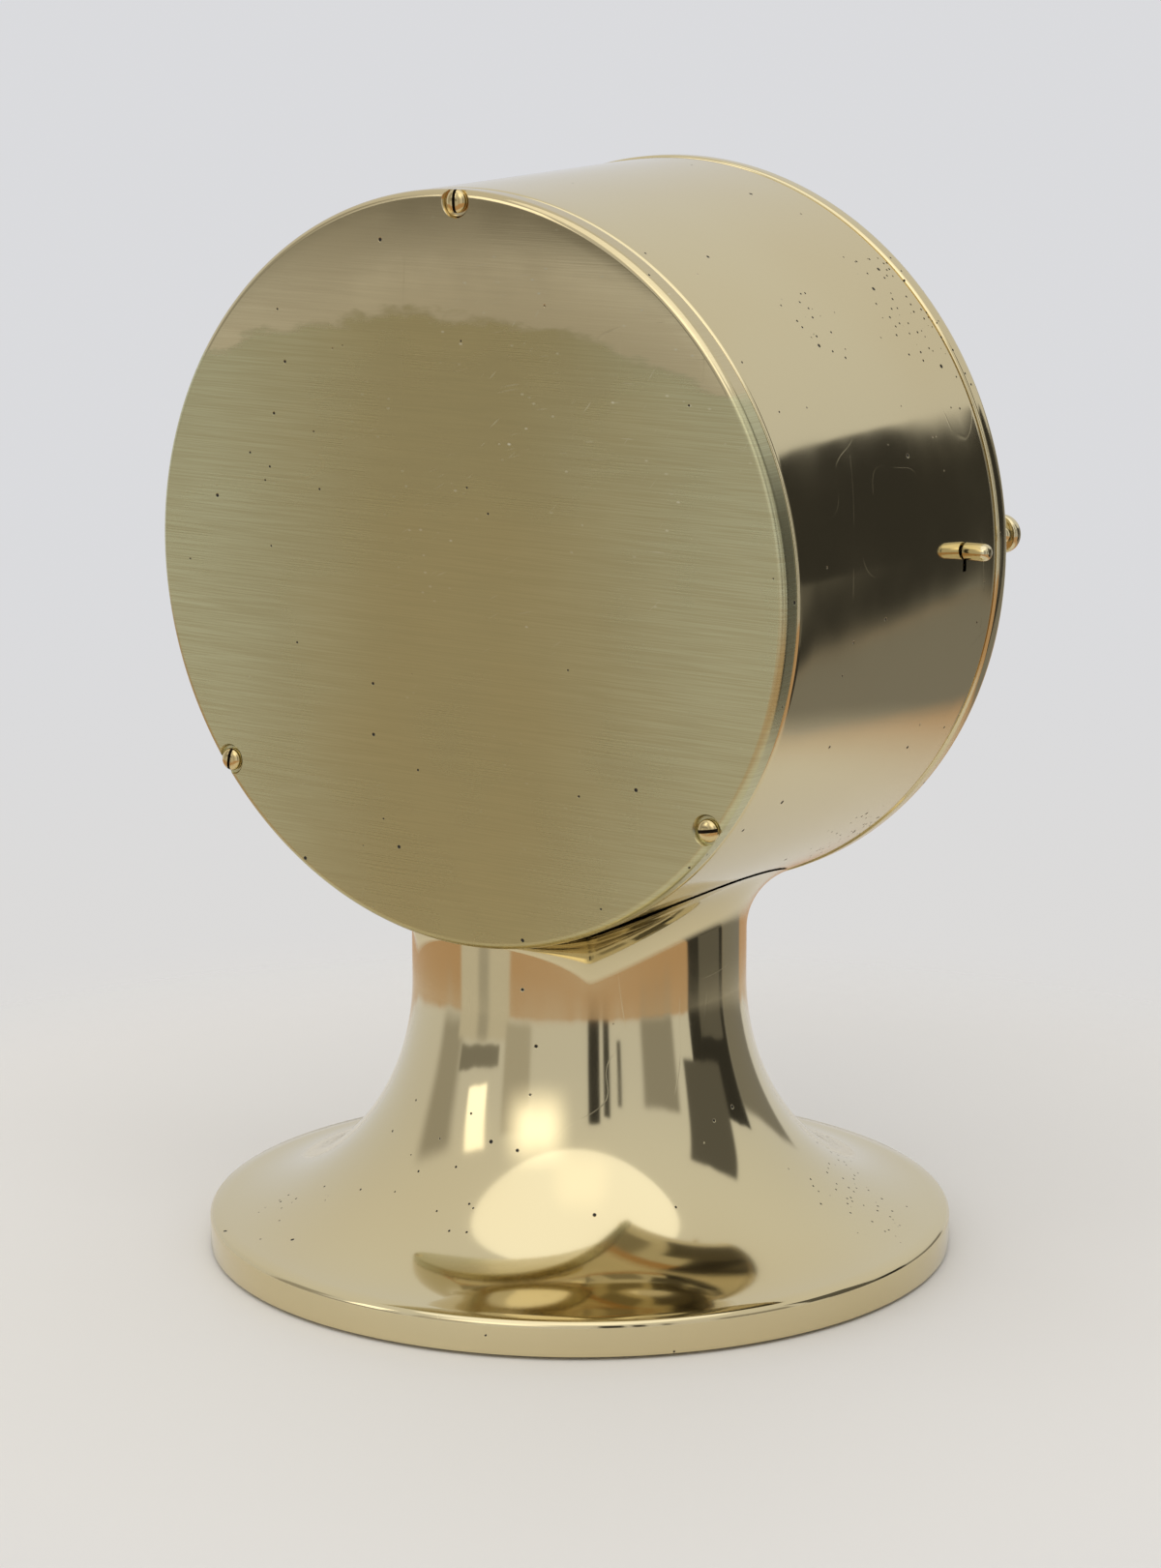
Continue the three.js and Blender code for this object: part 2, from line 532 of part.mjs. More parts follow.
// Hinge: a bracket with two knuckles on the drum, and the bezel's own knuckle between them
function hingeBracket() {
  const { x, y, knuckle, pin, halfHeight } = HINGE;
  const { thickness, rearY, frontY } = HINGE_PLATE;
  const outer = DRUM_FRONT_RADIUS + thickness;
  const plate = block(DRUM_RADIUS - 4, outer, frontY, rearY, -halfHeight, halfHeight);
  const middle = HINGE_MIDDLE + RUNNING_GAP;
  const arms = [[middle, halfHeight], [-halfHeight, -middle]].flatMap(([low, high]) => [
    rod('z', knuckle, low, high, x, y),
    block(x - knuckle, outer, y, frontY + 1, low, high),
    block(x - knuckle, x, y, y + 1.2, low, high),
  ]);
  const seat = turned([
    [0, DRUM_REAR_Y], [drumRadiusAt(DRUM_REAR_Y) + TOUCH, DRUM_REAR_Y],
    [drumRadiusAt(DRUM_FRONT_Y - 6) + TOUCH, DRUM_FRONT_Y - 6], [0, DRUM_FRONT_Y - 6],
  ]);
  const screwHoles = HINGE_SCREW_Z.map((z) =>
    rod('x', SMALL_SCREW.shank + BORE_PLAY, DRUM_RADIUS - 5, outer + 1, HINGE_SCREW_Y, z));
  const pinHole = rod('z', pin + BORE_PLAY, -halfHeight - 1, halfHeight + 1, x, y);
  return cut(join(plate, ...arms), seat, ...screwHoles, pinHole);
}

function hingeScrew() {
  return slottedScrew(SMALL_SCREW, HINGE_PLATE.thickness + DRUM_WALL / 2 + 0.8, 45).rotateZ(-Math.PI / 2);
}

function hingePin() {
  const { pin, halfHeight, knuckle } = HINGE;
  return turnedUpright([[0, -halfHeight - 0.3], [pin, -halfHeight - 0.3], [pin, halfHeight + TOUCH],
    [knuckle * 0.75, halfHeight + TOUCH], [knuckle * 0.55, halfHeight + 1.2], [0, halfHeight + 1.5]],
    ROD_SIDES);
}

place(head, 'hinge_bracket', hingeBracket(), POLISHED_BRASS);
['upper', 'lower'].forEach((end, i) =>
  place(head, `hinge_screw_${end}`, hingeScrew(), POLISHED_BRASS,
    [DRUM_FRONT_RADIUS + HINGE_PLATE.thickness + TOUCH, HINGE_SCREW_Y, HINGE_SCREW_Z[i]]));
place(head, 'hinge_pin', hingePin(), STEEL, [HINGE.x, HINGE.y, 0]);

// Bezel: a turned ring with its hinge knuckle, the glass, its retaining ring, the knob and the catch
const BEZEL_SIDE_Y = BEZEL_REAR_Y - BEZEL_SIDE;
const BEZEL_FACE_Y = BEZEL_REAR_Y - BEZEL_DEPTH;
const GLASS_SEAT_Y = BEZEL_REAR_Y - BEZEL_DEPTH + 2.5;
const GLASS_REAR_Y = GLASS_SEAT_Y + TOUCH + GLASS_THICKNESS;
const KNOB = { circle: DRUM_RADIUS - 3.5, z: 4, stem: 2.2, head: 5.25, neck: 5, dome: 4.4 };
const KNOB_X = -Math.sqrt(KNOB.circle ** 2 - KNOB.z ** 2);
const CATCH = { low: LATCH_PIN_Z + 4.5, height: 5, reach: 8 };
function bezelRing() {
  const seat = GLASS_RADIUS + 0.2;
  const e = DRUM_EDGE_ROUND;
  const faceInner = BEZEL_RADIUS - 1.9 - BEZEL_FACE_WIDTH;
  const ring = turned([
    [seat, BEZEL_REAR_Y], [seat, GLASS_SEAT_Y], [SIGHT_RADIUS, GLASS_SEAT_Y],
    [SIGHT_RADIUS + 0.3, GLASS_SEAT_Y - 1], [faceInner - 1.2, BEZEL_FACE_Y + 0.5],
    [faceInner, BEZEL_FACE_Y], [faceInner + BEZEL_FACE_WIDTH, BEZEL_FACE_Y],
    [BEZEL_RADIUS - 0.55, BEZEL_FACE_Y + 0.55],
    [BEZEL_RADIUS, BEZEL_SIDE_Y], [BEZEL_RADIUS, BEZEL_REAR_Y - e], [BEZEL_RADIUS - e, BEZEL_REAR_Y],
  ]);
  const { x, y, knuckle, pin } = HINGE;
  const barrel = rod('z', knuckle, -HINGE_MIDDLE, HINGE_MIDDLE, x, y);
  const lug = block(BEZEL_RADIUS - 3, x, y - knuckle, BEZEL_REAR_Y, -HINGE_MIDDLE, HINGE_MIDDLE);
  const pinHole = rod('z', pin + BORE_PLAY, -HINGE_MIDDLE - 1, HINGE_MIDDLE + 1, x, y);
  const knobHole = rod('y', 1.5 + BORE_PLAY, BEZEL_FACE_Y - 1, BEZEL_FACE_Y + 3, KNOB_X, KNOB.z);
  return cut(join(ring, barrel, lug), pinHole, knobHole);
}

function bezelKnob() {
  const seat = BEZEL_FACE_Y - TOUCH;
  const { stem, head: headRadius, neck, dome } = KNOB;
  const under = seat - neck;
  return turned([
    [0, seat + 2.7], [1.5, seat + 2.7], [1.5, seat], [stem + 1.4, seat], [stem, seat - 1.5],
    [stem, under + 1], [headRadius - 1.2, under], [headRadius, under - 1],
    [headRadius - 0.3, under - 2.2], [headRadius * 0.62, under - dome + 0.6], [0, under - dome],
  ], 20);
}

function bezelCatch() {
  const [x0, x1] = [LATCH_X - LATCH_PLATE / 2, LATCH_X + LATCH_PLATE / 2];
  const rear = BEZEL_REAR_Y + TOUCH;
  const tongue = block(x0, x1, rear, rear + CATCH.reach, CATCH.low, CATCH.low + CATCH.height);
  const foot = block(x0 - 0.3, x1, rear, rear + 1.2, CATCH.low, CATCH.low + CATCH.height + 5);
  const notch = block(x0 - 1, x1 + 1, rear + 2.6, rear + 5.8, CATCH.low - 1, CATCH.low + 1.5);
  return cut(join(tongue, foot), notch);
}

place(head, 'bezel_ring', bezelRing(), POLISHED_BRASS);
place(head, 'bezel_glass', rod('y', GLASS_RADIUS, GLASS_SEAT_Y + TOUCH, GLASS_REAR_Y, 0, 0, DISC_SIDES),
  CLEAR_GLASS);
place(head, 'glass_retaining_ring', turned([
  [GLASS_RADIUS - 3.6, GLASS_REAR_Y + TOUCH], [GLASS_RADIUS, GLASS_REAR_Y + TOUCH],
  [GLASS_RADIUS, GLASS_REAR_Y + 1.4], [GLASS_RADIUS - 3.6, GLASS_REAR_Y + 1.4],
], DISC_SIDES), MOVEMENT_BRASS);
place(head, 'bezel_knob', bezelKnob(), POLISHED_BRASS, [KNOB_X, 0, KNOB.z]);
place(head, 'bezel_catch', bezelCatch(), STEEL);

// Latch lever, its knob outside the drum, its pivot screw and its spring
const LEVER_HALF = 2;
const LEVER_REAR = { y: LATCH_PIVOT.y - 3, half: 3 };
const HOOK_Y = BEZEL_REAR_Y + TOUCH + 4.2;
function leverUnderside(y) {
  const rearZ = LATCH_PIVOT.z - LEVER_REAR.half;
  const frontZ = LATCH_PIN_Z - LEVER_HALF;
  return rearZ + ((frontZ - rearZ) * (LEVER_REAR.y - y)) / (LEVER_REAR.y - HOOK_Y - 1);
}
function latchLever() {
  const p = LATCH_PIVOT;
  const [x0, x1] = [LATCH_X - LATCH_PLATE / 2, LATCH_X + LATCH_PLATE / 2];
  const hookTop = CATCH.low - SEAM;
  const outline = shapeFrom([
    [p.y + 4, p.z - 2.6], [p.y + 4, p.z + 2.6], [LEVER_REAR.y, p.z + LEVER_REAR.half],
    [HOOK_Y + 2.6, LATCH_PIN_Z + LEVER_HALF], [HOOK_Y + 1.2, hookTop], [HOOK_Y - 1.2, hookTop],
    [HOOK_Y - 2, LATCH_PIN_Z - LEVER_HALF + 1], [HOOK_Y + 1, LATCH_PIN_Z - LEVER_HALF],
    [LEVER_REAR.y, p.z - LEVER_REAR.half],
  ]);
  addHole(outline, p.y, p.z, PIVOT_SCREW_SHANK + BORE_PLAY);
  const arm = new THREE.ExtrudeGeometry(outline, { depth: LATCH_PLATE, bevelEnabled: false })
    .rotateX(Math.PI / 2).rotateZ(Math.PI / 2).translate(x0, 0, 0);
  const knobRoot = -drumRadiusAt(LATCH_PIN_Y) - SEAM - 1.6;
  const tab = block(knobRoot, x1 - 0.5, LATCH_PIN_Y - LATCH_TAB.thickness / 2,
    LATCH_PIN_Y + LATCH_TAB.thickness / 2, LATCH_PIN_Z - LATCH_TAB.height / 2,
    LATCH_PIN_Z + LATCH_TAB.height / 2);
  return join(arm, tab);
}

function latchKnob() {
  const root = -drumRadiusAt(LATCH_PIN_Y) - SEAM;
  const { radius, length } = LATCH_KNOB;
  const knob = turned([
    [0, 0], [radius - 0.25, 0], [radius, 0.4], [radius, length - 1.6], [radius * 0.8, length - 0.6],
    [radius * 0.4, length], [0, length],
  ], 20).rotateZ(Math.PI / 2).translate(root, LATCH_PIN_Y, LATCH_PIN_Z);
  const socket = block(root - 1.8, root + 1, LATCH_PIN_Y - LATCH_TAB.thickness / 2 - BORE_PLAY,
    LATCH_PIN_Y + LATCH_TAB.thickness / 2 + BORE_PLAY, LATCH_PIN_Z - LATCH_TAB.height / 2 - BORE_PLAY,
    LATCH_PIN_Z + LATCH_TAB.height / 2 + BORE_PLAY);
  return cut(knob, socket);
}

const SPRING = { wire: 0.4, coil: 3.2, turns: 3, start: LATCH_X + LATCH_PLATE / 2 + 0.8, pitch: 0.9 };
const SPRING_STEPS = 8;
const PIVOT_HEAD_X = SPRING.start + SPRING.pitch * SPRING.turns + SPRING.wire + 0.3;
function pivotScrew() {
  const tip = -DRUM_RADIUS + DRUM_WALL / 2 - 0.2;
  return slottedScrew({ shank: PIVOT_SCREW_SHANK, head: 4, height: 1.8 }, PIVOT_HEAD_X - tip, 30)
    .rotateZ(-Math.PI / 2);
}

// The spring's coil stands beside the lever; one leg hooks under the lever, one rests on the post
function latchSpring() {
  const { wire, coil, turns, start, pitch } = SPRING;
  const { y: py, z: pz } = LATCH_PIVOT;
  const points = [];
  const legX = start;
  const hookedZ = leverUnderside(-15) - wire - RUNNING_GAP;
  points.push(new THREE.Vector3(LATCH_X, -15, hookedZ));
  points.push(new THREE.Vector3(legX - 0.4, -15, hookedZ - 0.1));
  points.push(new THREE.Vector3(legX, -13, hookedZ - 0.2));
  points.push(new THREE.Vector3(legX, -5, pz - coil));
  const steps = turns * SPRING_STEPS;
  for (let i = 0; i <= steps; i += 1) {
    const angle = -Math.PI / 2 + (i / SPRING_STEPS) * 2 * Math.PI;
    const [y, z] = [py + coil * Math.cos(angle), pz + coil * Math.sin(angle)];
    points.push(new THREE.Vector3(start + (pitch * i) / SPRING_STEPS, y, z));
  }
  const endX = start + pitch * turns;
  const legZ = SPRING_POST.z + SPRING_POST.radius + wire + RUNNING_GAP;
  points.push(new THREE.Vector3(endX, 5, (pz - coil + legZ) / 2));
  points.push(new THREE.Vector3(endX, SPRING_POST.y + 2.5, legZ));
  const path = new THREE.CatmullRomCurve3(points, false, 'centripetal');
  const section = new THREE.Shape();
  for (let i = 0; i < 5; i += 1) {
    const [a, b] = polar(wire, i * 72);
    if (i === 0) section.moveTo(a, b);
    else section.lineTo(a, b);
  }
  return new THREE.ExtrudeGeometry(section, { steps: steps + 14, extrudePath: path, bevelEnabled: false });
}

place(head, 'latch_lever', latchLever(), STEEL);
place(head, 'latch_knob', latchKnob(), POLISHED_BRASS);
place(head, 'latch_pivot_screw', pivotScrew(), STEEL, [PIVOT_HEAD_X, LATCH_PIVOT.y, LATCH_PIVOT.z]);
place(head, 'latch_spring', latchSpring(), STEEL);

// Train: where each arbor stands, in X and Z from the drum's axis
const centre = [0, 0];
const fourth = [0, SECONDS_OFFSET];
const third = meetingPoint(centre, (CENTRE_MODULE * (CENTRE_TEETH + THIRD_PINION)) / 2,
  fourth, (THIRD_MODULE * (THIRD_TEETH + FOURTH_PINION)) / 2);
const escape = polar((FOURTH_MODULE * (FOURTH_TEETH + ESCAPE_PINION)) / 2, 35, fourth);
const pallet = polar(10, -20, escape);
const balance = polar(13, -20, pallet);
const barrel = polar((GREAT_MODULE * (GREAT_TEETH + CENTRE_PINION)) / 2, 215);
const minutePost = polar((CANNON_MODULE * (CANNON_TEETH + MINUTE_TEETH)) / 2, -60);
const clickPost = polar(13.2, 235, barrel);
const cockFoot = polar(17, 129, balance);

// Pointed teeth, with a tooth's middle at the phase angle
const ADDENDUM = 0.6;
const DEDENDUM = 1;
function gearShape(teeth, module, phase) {
  const pitch = (module * teeth) / 2;
  const step = 360 / teeth;
  const points = [];
  for (let i = 0; i < teeth; i += 1) {
    points.push(polar(pitch - DEDENDUM * module, phase + (i - 0.5) * step));
    points.push(polar(pitch + ADDENDUM * module, phase + i * step));
  }
  return shapeFrom(points);
}

function gear(teeth, module, phase, y0, y1, bore = 0) {
  const shape = gearShape(teeth, module, phase);
  if (bore > 0) addHole(shape, 0, 0, bore);
  return sheetOf(shape, y0, y1);
}

// The phase of a pinion that shows a gap to the wheel that it meets
function gapTowards(from, to, leaves) {
  return bearing(from, to) + 180 / leaves;
}

const ARBOR = 1.2;
const PIVOT = 0.8;
const PLATE_PLAY = 0.15;
const TRAIN_FRONT_Y = FRONT_PLATE_Y + RUNNING_GAP;
const TRAIN_REAR_Y = BACK_PLATE_Y - RUNNING_GAP;
function arborWithPivots(frontTip = FRONT_PLATE_Y - 1.5, rearTip = BACK_PLATE_Y + 1.5) {
  return turned([[0, frontTip], [PIVOT, frontTip], [PIVOT, TRAIN_FRONT_Y], [ARBOR, TRAIN_FRONT_Y],
    [ARBOR, TRAIN_REAR_Y], [PIVOT, TRAIN_REAR_Y], [PIVOT, rearTip], [0, rearTip]], ARBOR_SIDES);
}

const CENTRE_ARBOR_FRONT = MINUTE_HAND.y[0] - 0.3;

function centreWheel() {
  const arbor = turned([[0, CENTRE_ARBOR_FRONT], [ARBOR, CENTRE_ARBOR_FRONT], [ARBOR, TRAIN_REAR_Y],
    [PIVOT, TRAIN_REAR_Y], [PIVOT, BACK_PLATE_Y + 1.5], [0, BACK_PLATE_Y + 1.5]], ARBOR_SIDES);
  const wheel = gear(CENTRE_TEETH, CENTRE_MODULE, bearing(centre, third), -24.5, -23.3);
  const pinion = gear(CENTRE_PINION, GREAT_MODULE, gapTowards(centre, barrel, CENTRE_PINION), -21, -15);
  return join(arbor, wheel, pinion);
}

function thirdWheel() {
  const wheel = gear(THIRD_TEETH, THIRD_MODULE, bearing(third, fourth), -12.5, -11.3);
  const pinion = gear(THIRD_PINION, CENTRE_MODULE, gapTowards(third, centre, THIRD_PINION), -25.2, -22.6);
  return join(arborWithPivots(), wheel, pinion);
}

function fourthWheel() {
  const arbor = arborWithPivots(SECONDS_HAND.y[0] - 0.3);
  const wheel = gear(FOURTH_TEETH, FOURTH_MODULE, bearing(fourth, escape), -18, -16.8);
  const pinion = gear(FOURTH_PINION, THIRD_MODULE, gapTowards(fourth, third, FOURTH_PINION), -13.4, -10.4);
  return join(arbor, wheel, pinion);
}

function escapeWheel() {
  const points = [];
  const [tip, root] = [8, 6];
  for (let i = 0; i < ESCAPE_TEETH; i += 1) {
    const angle = (360 * i) / ESCAPE_TEETH;
    points.push(polar(root, angle - 9), polar(tip, angle), polar(tip - 0.2, angle + 3));
  }
  const wheel = sheetOf(shapeFrom(points), -10.5, -9.5);
  const pinion = gear(ESCAPE_PINION, FOURTH_MODULE, gapTowards(escape, fourth, ESCAPE_PINION), -18.8, -16);
  return join(arborWithPivots(), wheel, pinion);
}

// Pallets stand clear of the wheel's teeth through the fork's swing
function palletFork() {
  const toWheel = bearing(pallet, escape);
  const arms = [[7.6, 72], [7.6, 60], [3.2, 58], [3.2, -58], [7.6, -60], [7.6, -72], [2.4, -110]];
  const outline = arms.map(([r, angle]) => polar(r, toWheel + angle));
  const toBalance = bearing(pallet, balance);
  const fork = [[9.6, 9], [9.6, 4], [7.6, 2.5], [7.6, -2.5], [9.6, -4], [9.6, -9]];
  outline.push(...fork.map(([r, angle]) => polar(r, toBalance + angle)), polar(2.4, toWheel + 110));
  return join(arborWithPivots(), sheetOf(shapeFrom(outline), -10.5, -9.5));
}

const COCK_Y = 6.6;
function balanceWheel() {
  const rim = turned([[9.6, 1], [11.4, 1], [11.4, 3], [9.6, 3]], 20);
  const spokes = block(-10, 10, 1.4, 2.4, -0.8, 0.8);
  const staff = turned([[0, FRONT_PLATE_Y - 1.5], [0.5, FRONT_PLATE_Y - 1.5], [0.8, TRAIN_FRONT_Y],
    [0.8, -8.5], [2.5, -8.5], [2.5, -7.7], [0.8, -7.7], [0.8, 0.4], [2.2, 0.8], [2.2, 3.2], [1.6, 3.4],
    [1.6, 5], [0.8, 5], [0.8, COCK_Y - 0.3], [0.5, COCK_Y - 0.3], [0.5, COCK_Y + 1.2], [0, COCK_Y + 1.2]],
    ARBOR_SIDES);
  const toPallet = bearing(balance, pallet);
  const [px, pz] = polar(2, toPallet);
  const pin = rod('y', 0.35, -9.1, -8.2, px, pz, 8);
  return join(rim, spokes, staff, pin);
}

// A flat spiral strip from the inner radius to the outer one
function spiral(inner, outer, turns, thickness, y0, y1, steps) {
  const outside = [];
  const inside = [];
  for (let i = 0; i <= steps; i += 1) {
    const share = i / steps;
    const radius = inner + (outer - inner) * share;
    outside.push(polar(radius + thickness / 2, 360 * turns * share));
    inside.unshift(polar(radius - thickness / 2, 360 * turns * share));
  }
  return sheetOf(shapeFrom([...outside, ...inside]), y0, y1);
}

const HAIRSPRING = { inner: 2.1, outer: 7.6, turns: 4, y: [3.8, 4.8] };
function balanceCock() {
  const outline = new THREE.Shape();
  const [fx, fz] = [cockFoot[0] - balance[0], cockFoot[1] - balance[1]];
  const along = THREE.MathUtils.degToRad(bearing(balance, cockFoot));
  outline.absarc(0, 0, 3.2, along + Math.PI / 2, along - Math.PI / 2, false);
  outline.absarc(fx, fz, 4.2, along - Math.PI / 2, along + Math.PI / 2, false);
  addHole(outline, 0, 0, 0.5 + PLATE_PLAY);
  addHole(outline, fx, fz, SMALL_SCREW.shank + BORE_PLAY);
  const bridge = sheetOf(outline, COCK_Y, COCK_Y + 2);
  const foot = cut(rod('y', 4.2, BACK_PLATE_Y + PLATE_THICKNESS + TOUCH, COCK_Y + 0.5, fx, fz),
    rod('y', SMALL_SCREW.shank + BORE_PLAY, BACK_PLATE_Y, COCK_Y + 1, fx, fz));
  const stud = rod('y', 0.7, HAIRSPRING.y[1] + 0.2, COCK_Y + 0.5, HAIRSPRING.outer, 0, 8);
  const finger = block(0, HAIRSPRING.outer + 0.8, COCK_Y + 0.2, COCK_Y + 1.8, -0.9, 0.9);
  const staffHole = rod('y', 0.5 + PLATE_PLAY, COCK_Y - 1, COCK_Y + 3, 0, 0, 12);
  return cut(join(bridge, foot, stud, finger), staffHole);
}

// Barrel with its great wheel, open behind, and the mainspring in it
const BARREL = { radius: 22, wall: 1.2, frontY: -17.2, rearY: -8.6, wheel: 2.4, arbor: 2.4 };
function barrelWithWheel() {
  const { radius, wall: thickness, frontY, rearY } = BARREL;
  const wheel = gear(GREAT_TEETH, GREAT_MODULE, bearing(barrel, centre), frontY - BARREL.wheel, frontY,
    BARREL.arbor + PLATE_PLAY);
  const bore = radius - thickness;
  const wall = turned([[radius, frontY - 0.2], [radius, rearY], [bore, rearY], [bore, frontY - 0.2]], 28);
  return join(wheel, wall);
}

const RATCHET = { y: [-30, -28.6], tip: 9, root: 7.8, teeth: 16 };
function windingArbor() {
  const tip = DIAL_REAR_Y + 0.3;
  const shaft = turned([[0, tip + 4], [2.4, tip + 4], [2.4, -16.9], [4.5, -16.9], [4.5, -8.8], [2.4, -8.8],
    [2.4, TRAIN_REAR_Y], [1.4, TRAIN_REAR_Y], [1.4, BACK_PLATE_Y + 1.5], [0, BACK_PLATE_Y + 1.5]], ROD_SIDES);
  const square = block(-1.6, 1.6, tip, tip + 5, -1.6, 1.6);
  const points = [];
  for (let i = 0; i < RATCHET.teeth; i += 1) {
    const angle = (360 * i) / RATCHET.teeth;
    points.push(polar(RATCHET.root, angle), polar(RATCHET.tip, angle + 1));
  }
  return join(shaft, square, sheetOf(shapeFrom(points), ...RATCHET.y));
}

// The click's beak stops just outside the ratchet's tip circle
function clickLever() {
  const toWheel = bearing(clickPost, barrel);
  const beak = 13.2 - RATCHET.tip - RUNNING_GAP;
  const outline = shapeFrom([polar(3, toWheel + 140), polar(3, toWheel - 140), polar(2.8, toWheel - 60),
    polar(beak, toWheel - 8), polar(beak, toWheel + 8), polar(2.8, toWheel + 60)]);
  addHole(outline, 0, 0, 1 + BORE_PLAY);
  return sheetOf(outline, ...RATCHET.y);
}

// Plates, pillars and their screws
const PILLAR = { radius: 3.4, bore: SMALL_SCREW.shank + BORE_PLAY };
function frontPlate() {
  const low = FRONT_PLATE_Y - PLATE_THICKNESS;
  const play = PIVOT + PLATE_PLAY;
  const holes = [[...centre, ARBOR + PLATE_PLAY], [...third, play], [...fourth, play], [...escape, play],
    [...pallet, play], [...balance, play], [...barrel, 2.4 + PLATE_PLAY]];
  const plate = disc(PLATE_RADIUS, holes, low, FRONT_PLATE_Y);
  const post = rod('y', 1, RATCHET.y[0] - 3.2, low + 1, ...minutePost, 12);
  const click = rod('y', 1, RATCHET.y[0] - 0.4, low + 1, ...clickPost, 12);
  return join(plate, post, click);
}

function backPlate() {
  const play = PIVOT + PLATE_PLAY;
  const holes = [[...centre, play], [...third, play], [...fourth, play], [...escape, play],
    [...pallet, play], [...balance, 3.2], [...barrel, 1.4 + PLATE_PLAY],
    [...cockFoot, SMALL_SCREW.shank + BORE_PLAY]];
  PILLAR_ANGLES.forEach((angle) => holes.push([...polar(PILLAR_CIRCLE, angle), PILLAR.bore]));
  return disc(PLATE_RADIUS, holes, BACK_PLATE_Y, BACK_PLATE_Y + PLATE_THICKNESS);
}

function pillar() {
  const [front, rear] = [FRONT_PLATE_Y + TOUCH, BACK_PLATE_Y - TOUCH];
  const { radius, bore } = PILLAR;
  return turned([[0, front], [radius, front], [radius, front + 1.5], [radius - 1, front + 2.5],
    [radius - 1, rear - 2.5], [radius, rear - 1.5], [radius, rear], [bore, rear], [bore, rear - 5],
    [0, rear - 5]], SCREW_SIDES);
}

function dialPillar() {
  return rod('y', 3, DIAL_REAR_Y + TOUCH, FRONT_PLATE_Y - PLATE_THICKNESS - TOUCH, 0, 0);
}

// Motion work and hands
const CANNON_FRONT = MINUTE_HAND.y[1] + TOUCH;
function cannonPinion() {
  const bore = ARBOR + TOUCH;
  const phase = gapTowards(centre, minutePost, CANNON_TEETH);
  const leaves = gear(CANNON_TEETH, CANNON_MODULE, phase, -30.6, -28.3, bore);
  const pipe = turned([[bore, CANNON_FRONT], [1.9, CANNON_FRONT], [1.9, -30], [bore, -30]], ROD_SIDES);
  return join(leaves, pipe);
}

const HOUR_PIPE_BORE = 2.1;
function hourWheel() {
  const wheel = gear(HOUR_TEETH, HOUR_MODULE, bearing(centre, minutePost), -32.2, -31.2, HOUR_PIPE_BORE);
  const front = HOUR_HAND.y[1] + TOUCH;
  const pipe = turned([[HOUR_PIPE_BORE, front], [3.1, front], [3.1, -32], [HOUR_PIPE_BORE, -32]], ROD_SIDES);
  return join(wheel, pipe);
}

function minuteWheel() {
  const bore = 1 + BORE_PLAY;
  const wheel = gear(MINUTE_TEETH, CANNON_MODULE, bearing(minutePost, centre), -29.8, -28.6, bore);
  const phase = gapTowards(minutePost, centre, MINUTE_PINION);
  const pinion = gear(MINUTE_PINION, HOUR_MODULE, phase, -32.6, -29.6, bore);
  return join(wheel, pinion);
}

// A hand that points to +Z before it is turned: a round hub, a slim neck and a leaf-shaped blade
function hand({ length, hub, width, tail, y: [y0, y1] }, bore) {
  const outline = new THREE.Shape();
  const tailGap = tail > 0 ? 0.35 : 0;
  if (tail > 0) {
    outline.moveTo(-hub * 0.5, -tail);
    outline.lineTo(hub * 0.5, -tail);
  }
  outline.absarc(0, 0, hub, -Math.PI / 2 + tailGap, Math.PI / 2 - 0.2, false);
  outline.lineTo(width * 0.18, length * 0.45);
  outline.quadraticCurveTo(width * 0.7, length * 0.62, width * 0.5, length * 0.72);
  outline.lineTo(0.15, length);
  outline.lineTo(-0.15, length);
  outline.lineTo(-width * 0.5, length * 0.72);
  outline.quadraticCurveTo(-width * 0.7, length * 0.62, -width * 0.18, length * 0.45);
  outline.absarc(0, 0, hub, Math.PI / 2 + 0.2, Math.PI * 1.5 - tailGap, false);
  addHole(outline, 0, 0, bore);
  return sheetOf(outline, y0, y1, 5);
}

const SHOWN_TIME = { hours: 10, minutes: 8, seconds: 36 };
const MINUTE_ANGLE = 6 * (SHOWN_TIME.minutes + SHOWN_TIME.seconds / 60);
const HOUR_ANGLE = 30 * SHOWN_TIME.hours + MINUTE_ANGLE / 12;
function turnedHand(geometry, clockwise) {
  return geometry.rotateY(THREE.MathUtils.degToRad(clockwise));
}

function dialPlate() {
  const holes = [[0, 0, 4.2], [...fourth, 1.5], [...barrel, 4.2]];
  DIAL_LUG_ANGLES.forEach((angle) =>
    holes.push([...onClock(DIAL_SCREW_CIRCLE, angle), SMALL_SCREW.shank + BORE_PLAY]));
  return disc(DIAL_RADIUS, holes, DIAL_FRONT_Y, DIAL_REAR_Y, DRUM_SIDES);
}

place(head, 'dial', dialPlate(), DIAL_WHITE);
DIAL_LUG_ANGLES.forEach((angle, i) => {
  const [x, z] = onClock(DIAL_SCREW_CIRCLE, angle);
  const screw = slottedScrew(SMALL_SCREW, 6, 20 + 50 * i).rotateX(Math.PI);
  place(head, `dial_screw_${i + 1}`, screw, BLUED_STEEL, [x, DIAL_FRONT_Y - TOUCH, z]);
});
const DIAL_PILLAR_ANGLES = [30, 150, 270];
DIAL_PILLAR_ANGLES.forEach((angle, i) => {
  const [x, z] = polar(PILLAR_CIRCLE, angle);
  place(head, `dial_pillar_${i + 1}`, dialPillar(), MOVEMENT_BRASS, [x, 0, z]);
});
place(head, 'front_plate', frontPlate(), MOVEMENT_BRASS);
place(head, 'back_plate', backPlate(), MOVEMENT_BRASS);
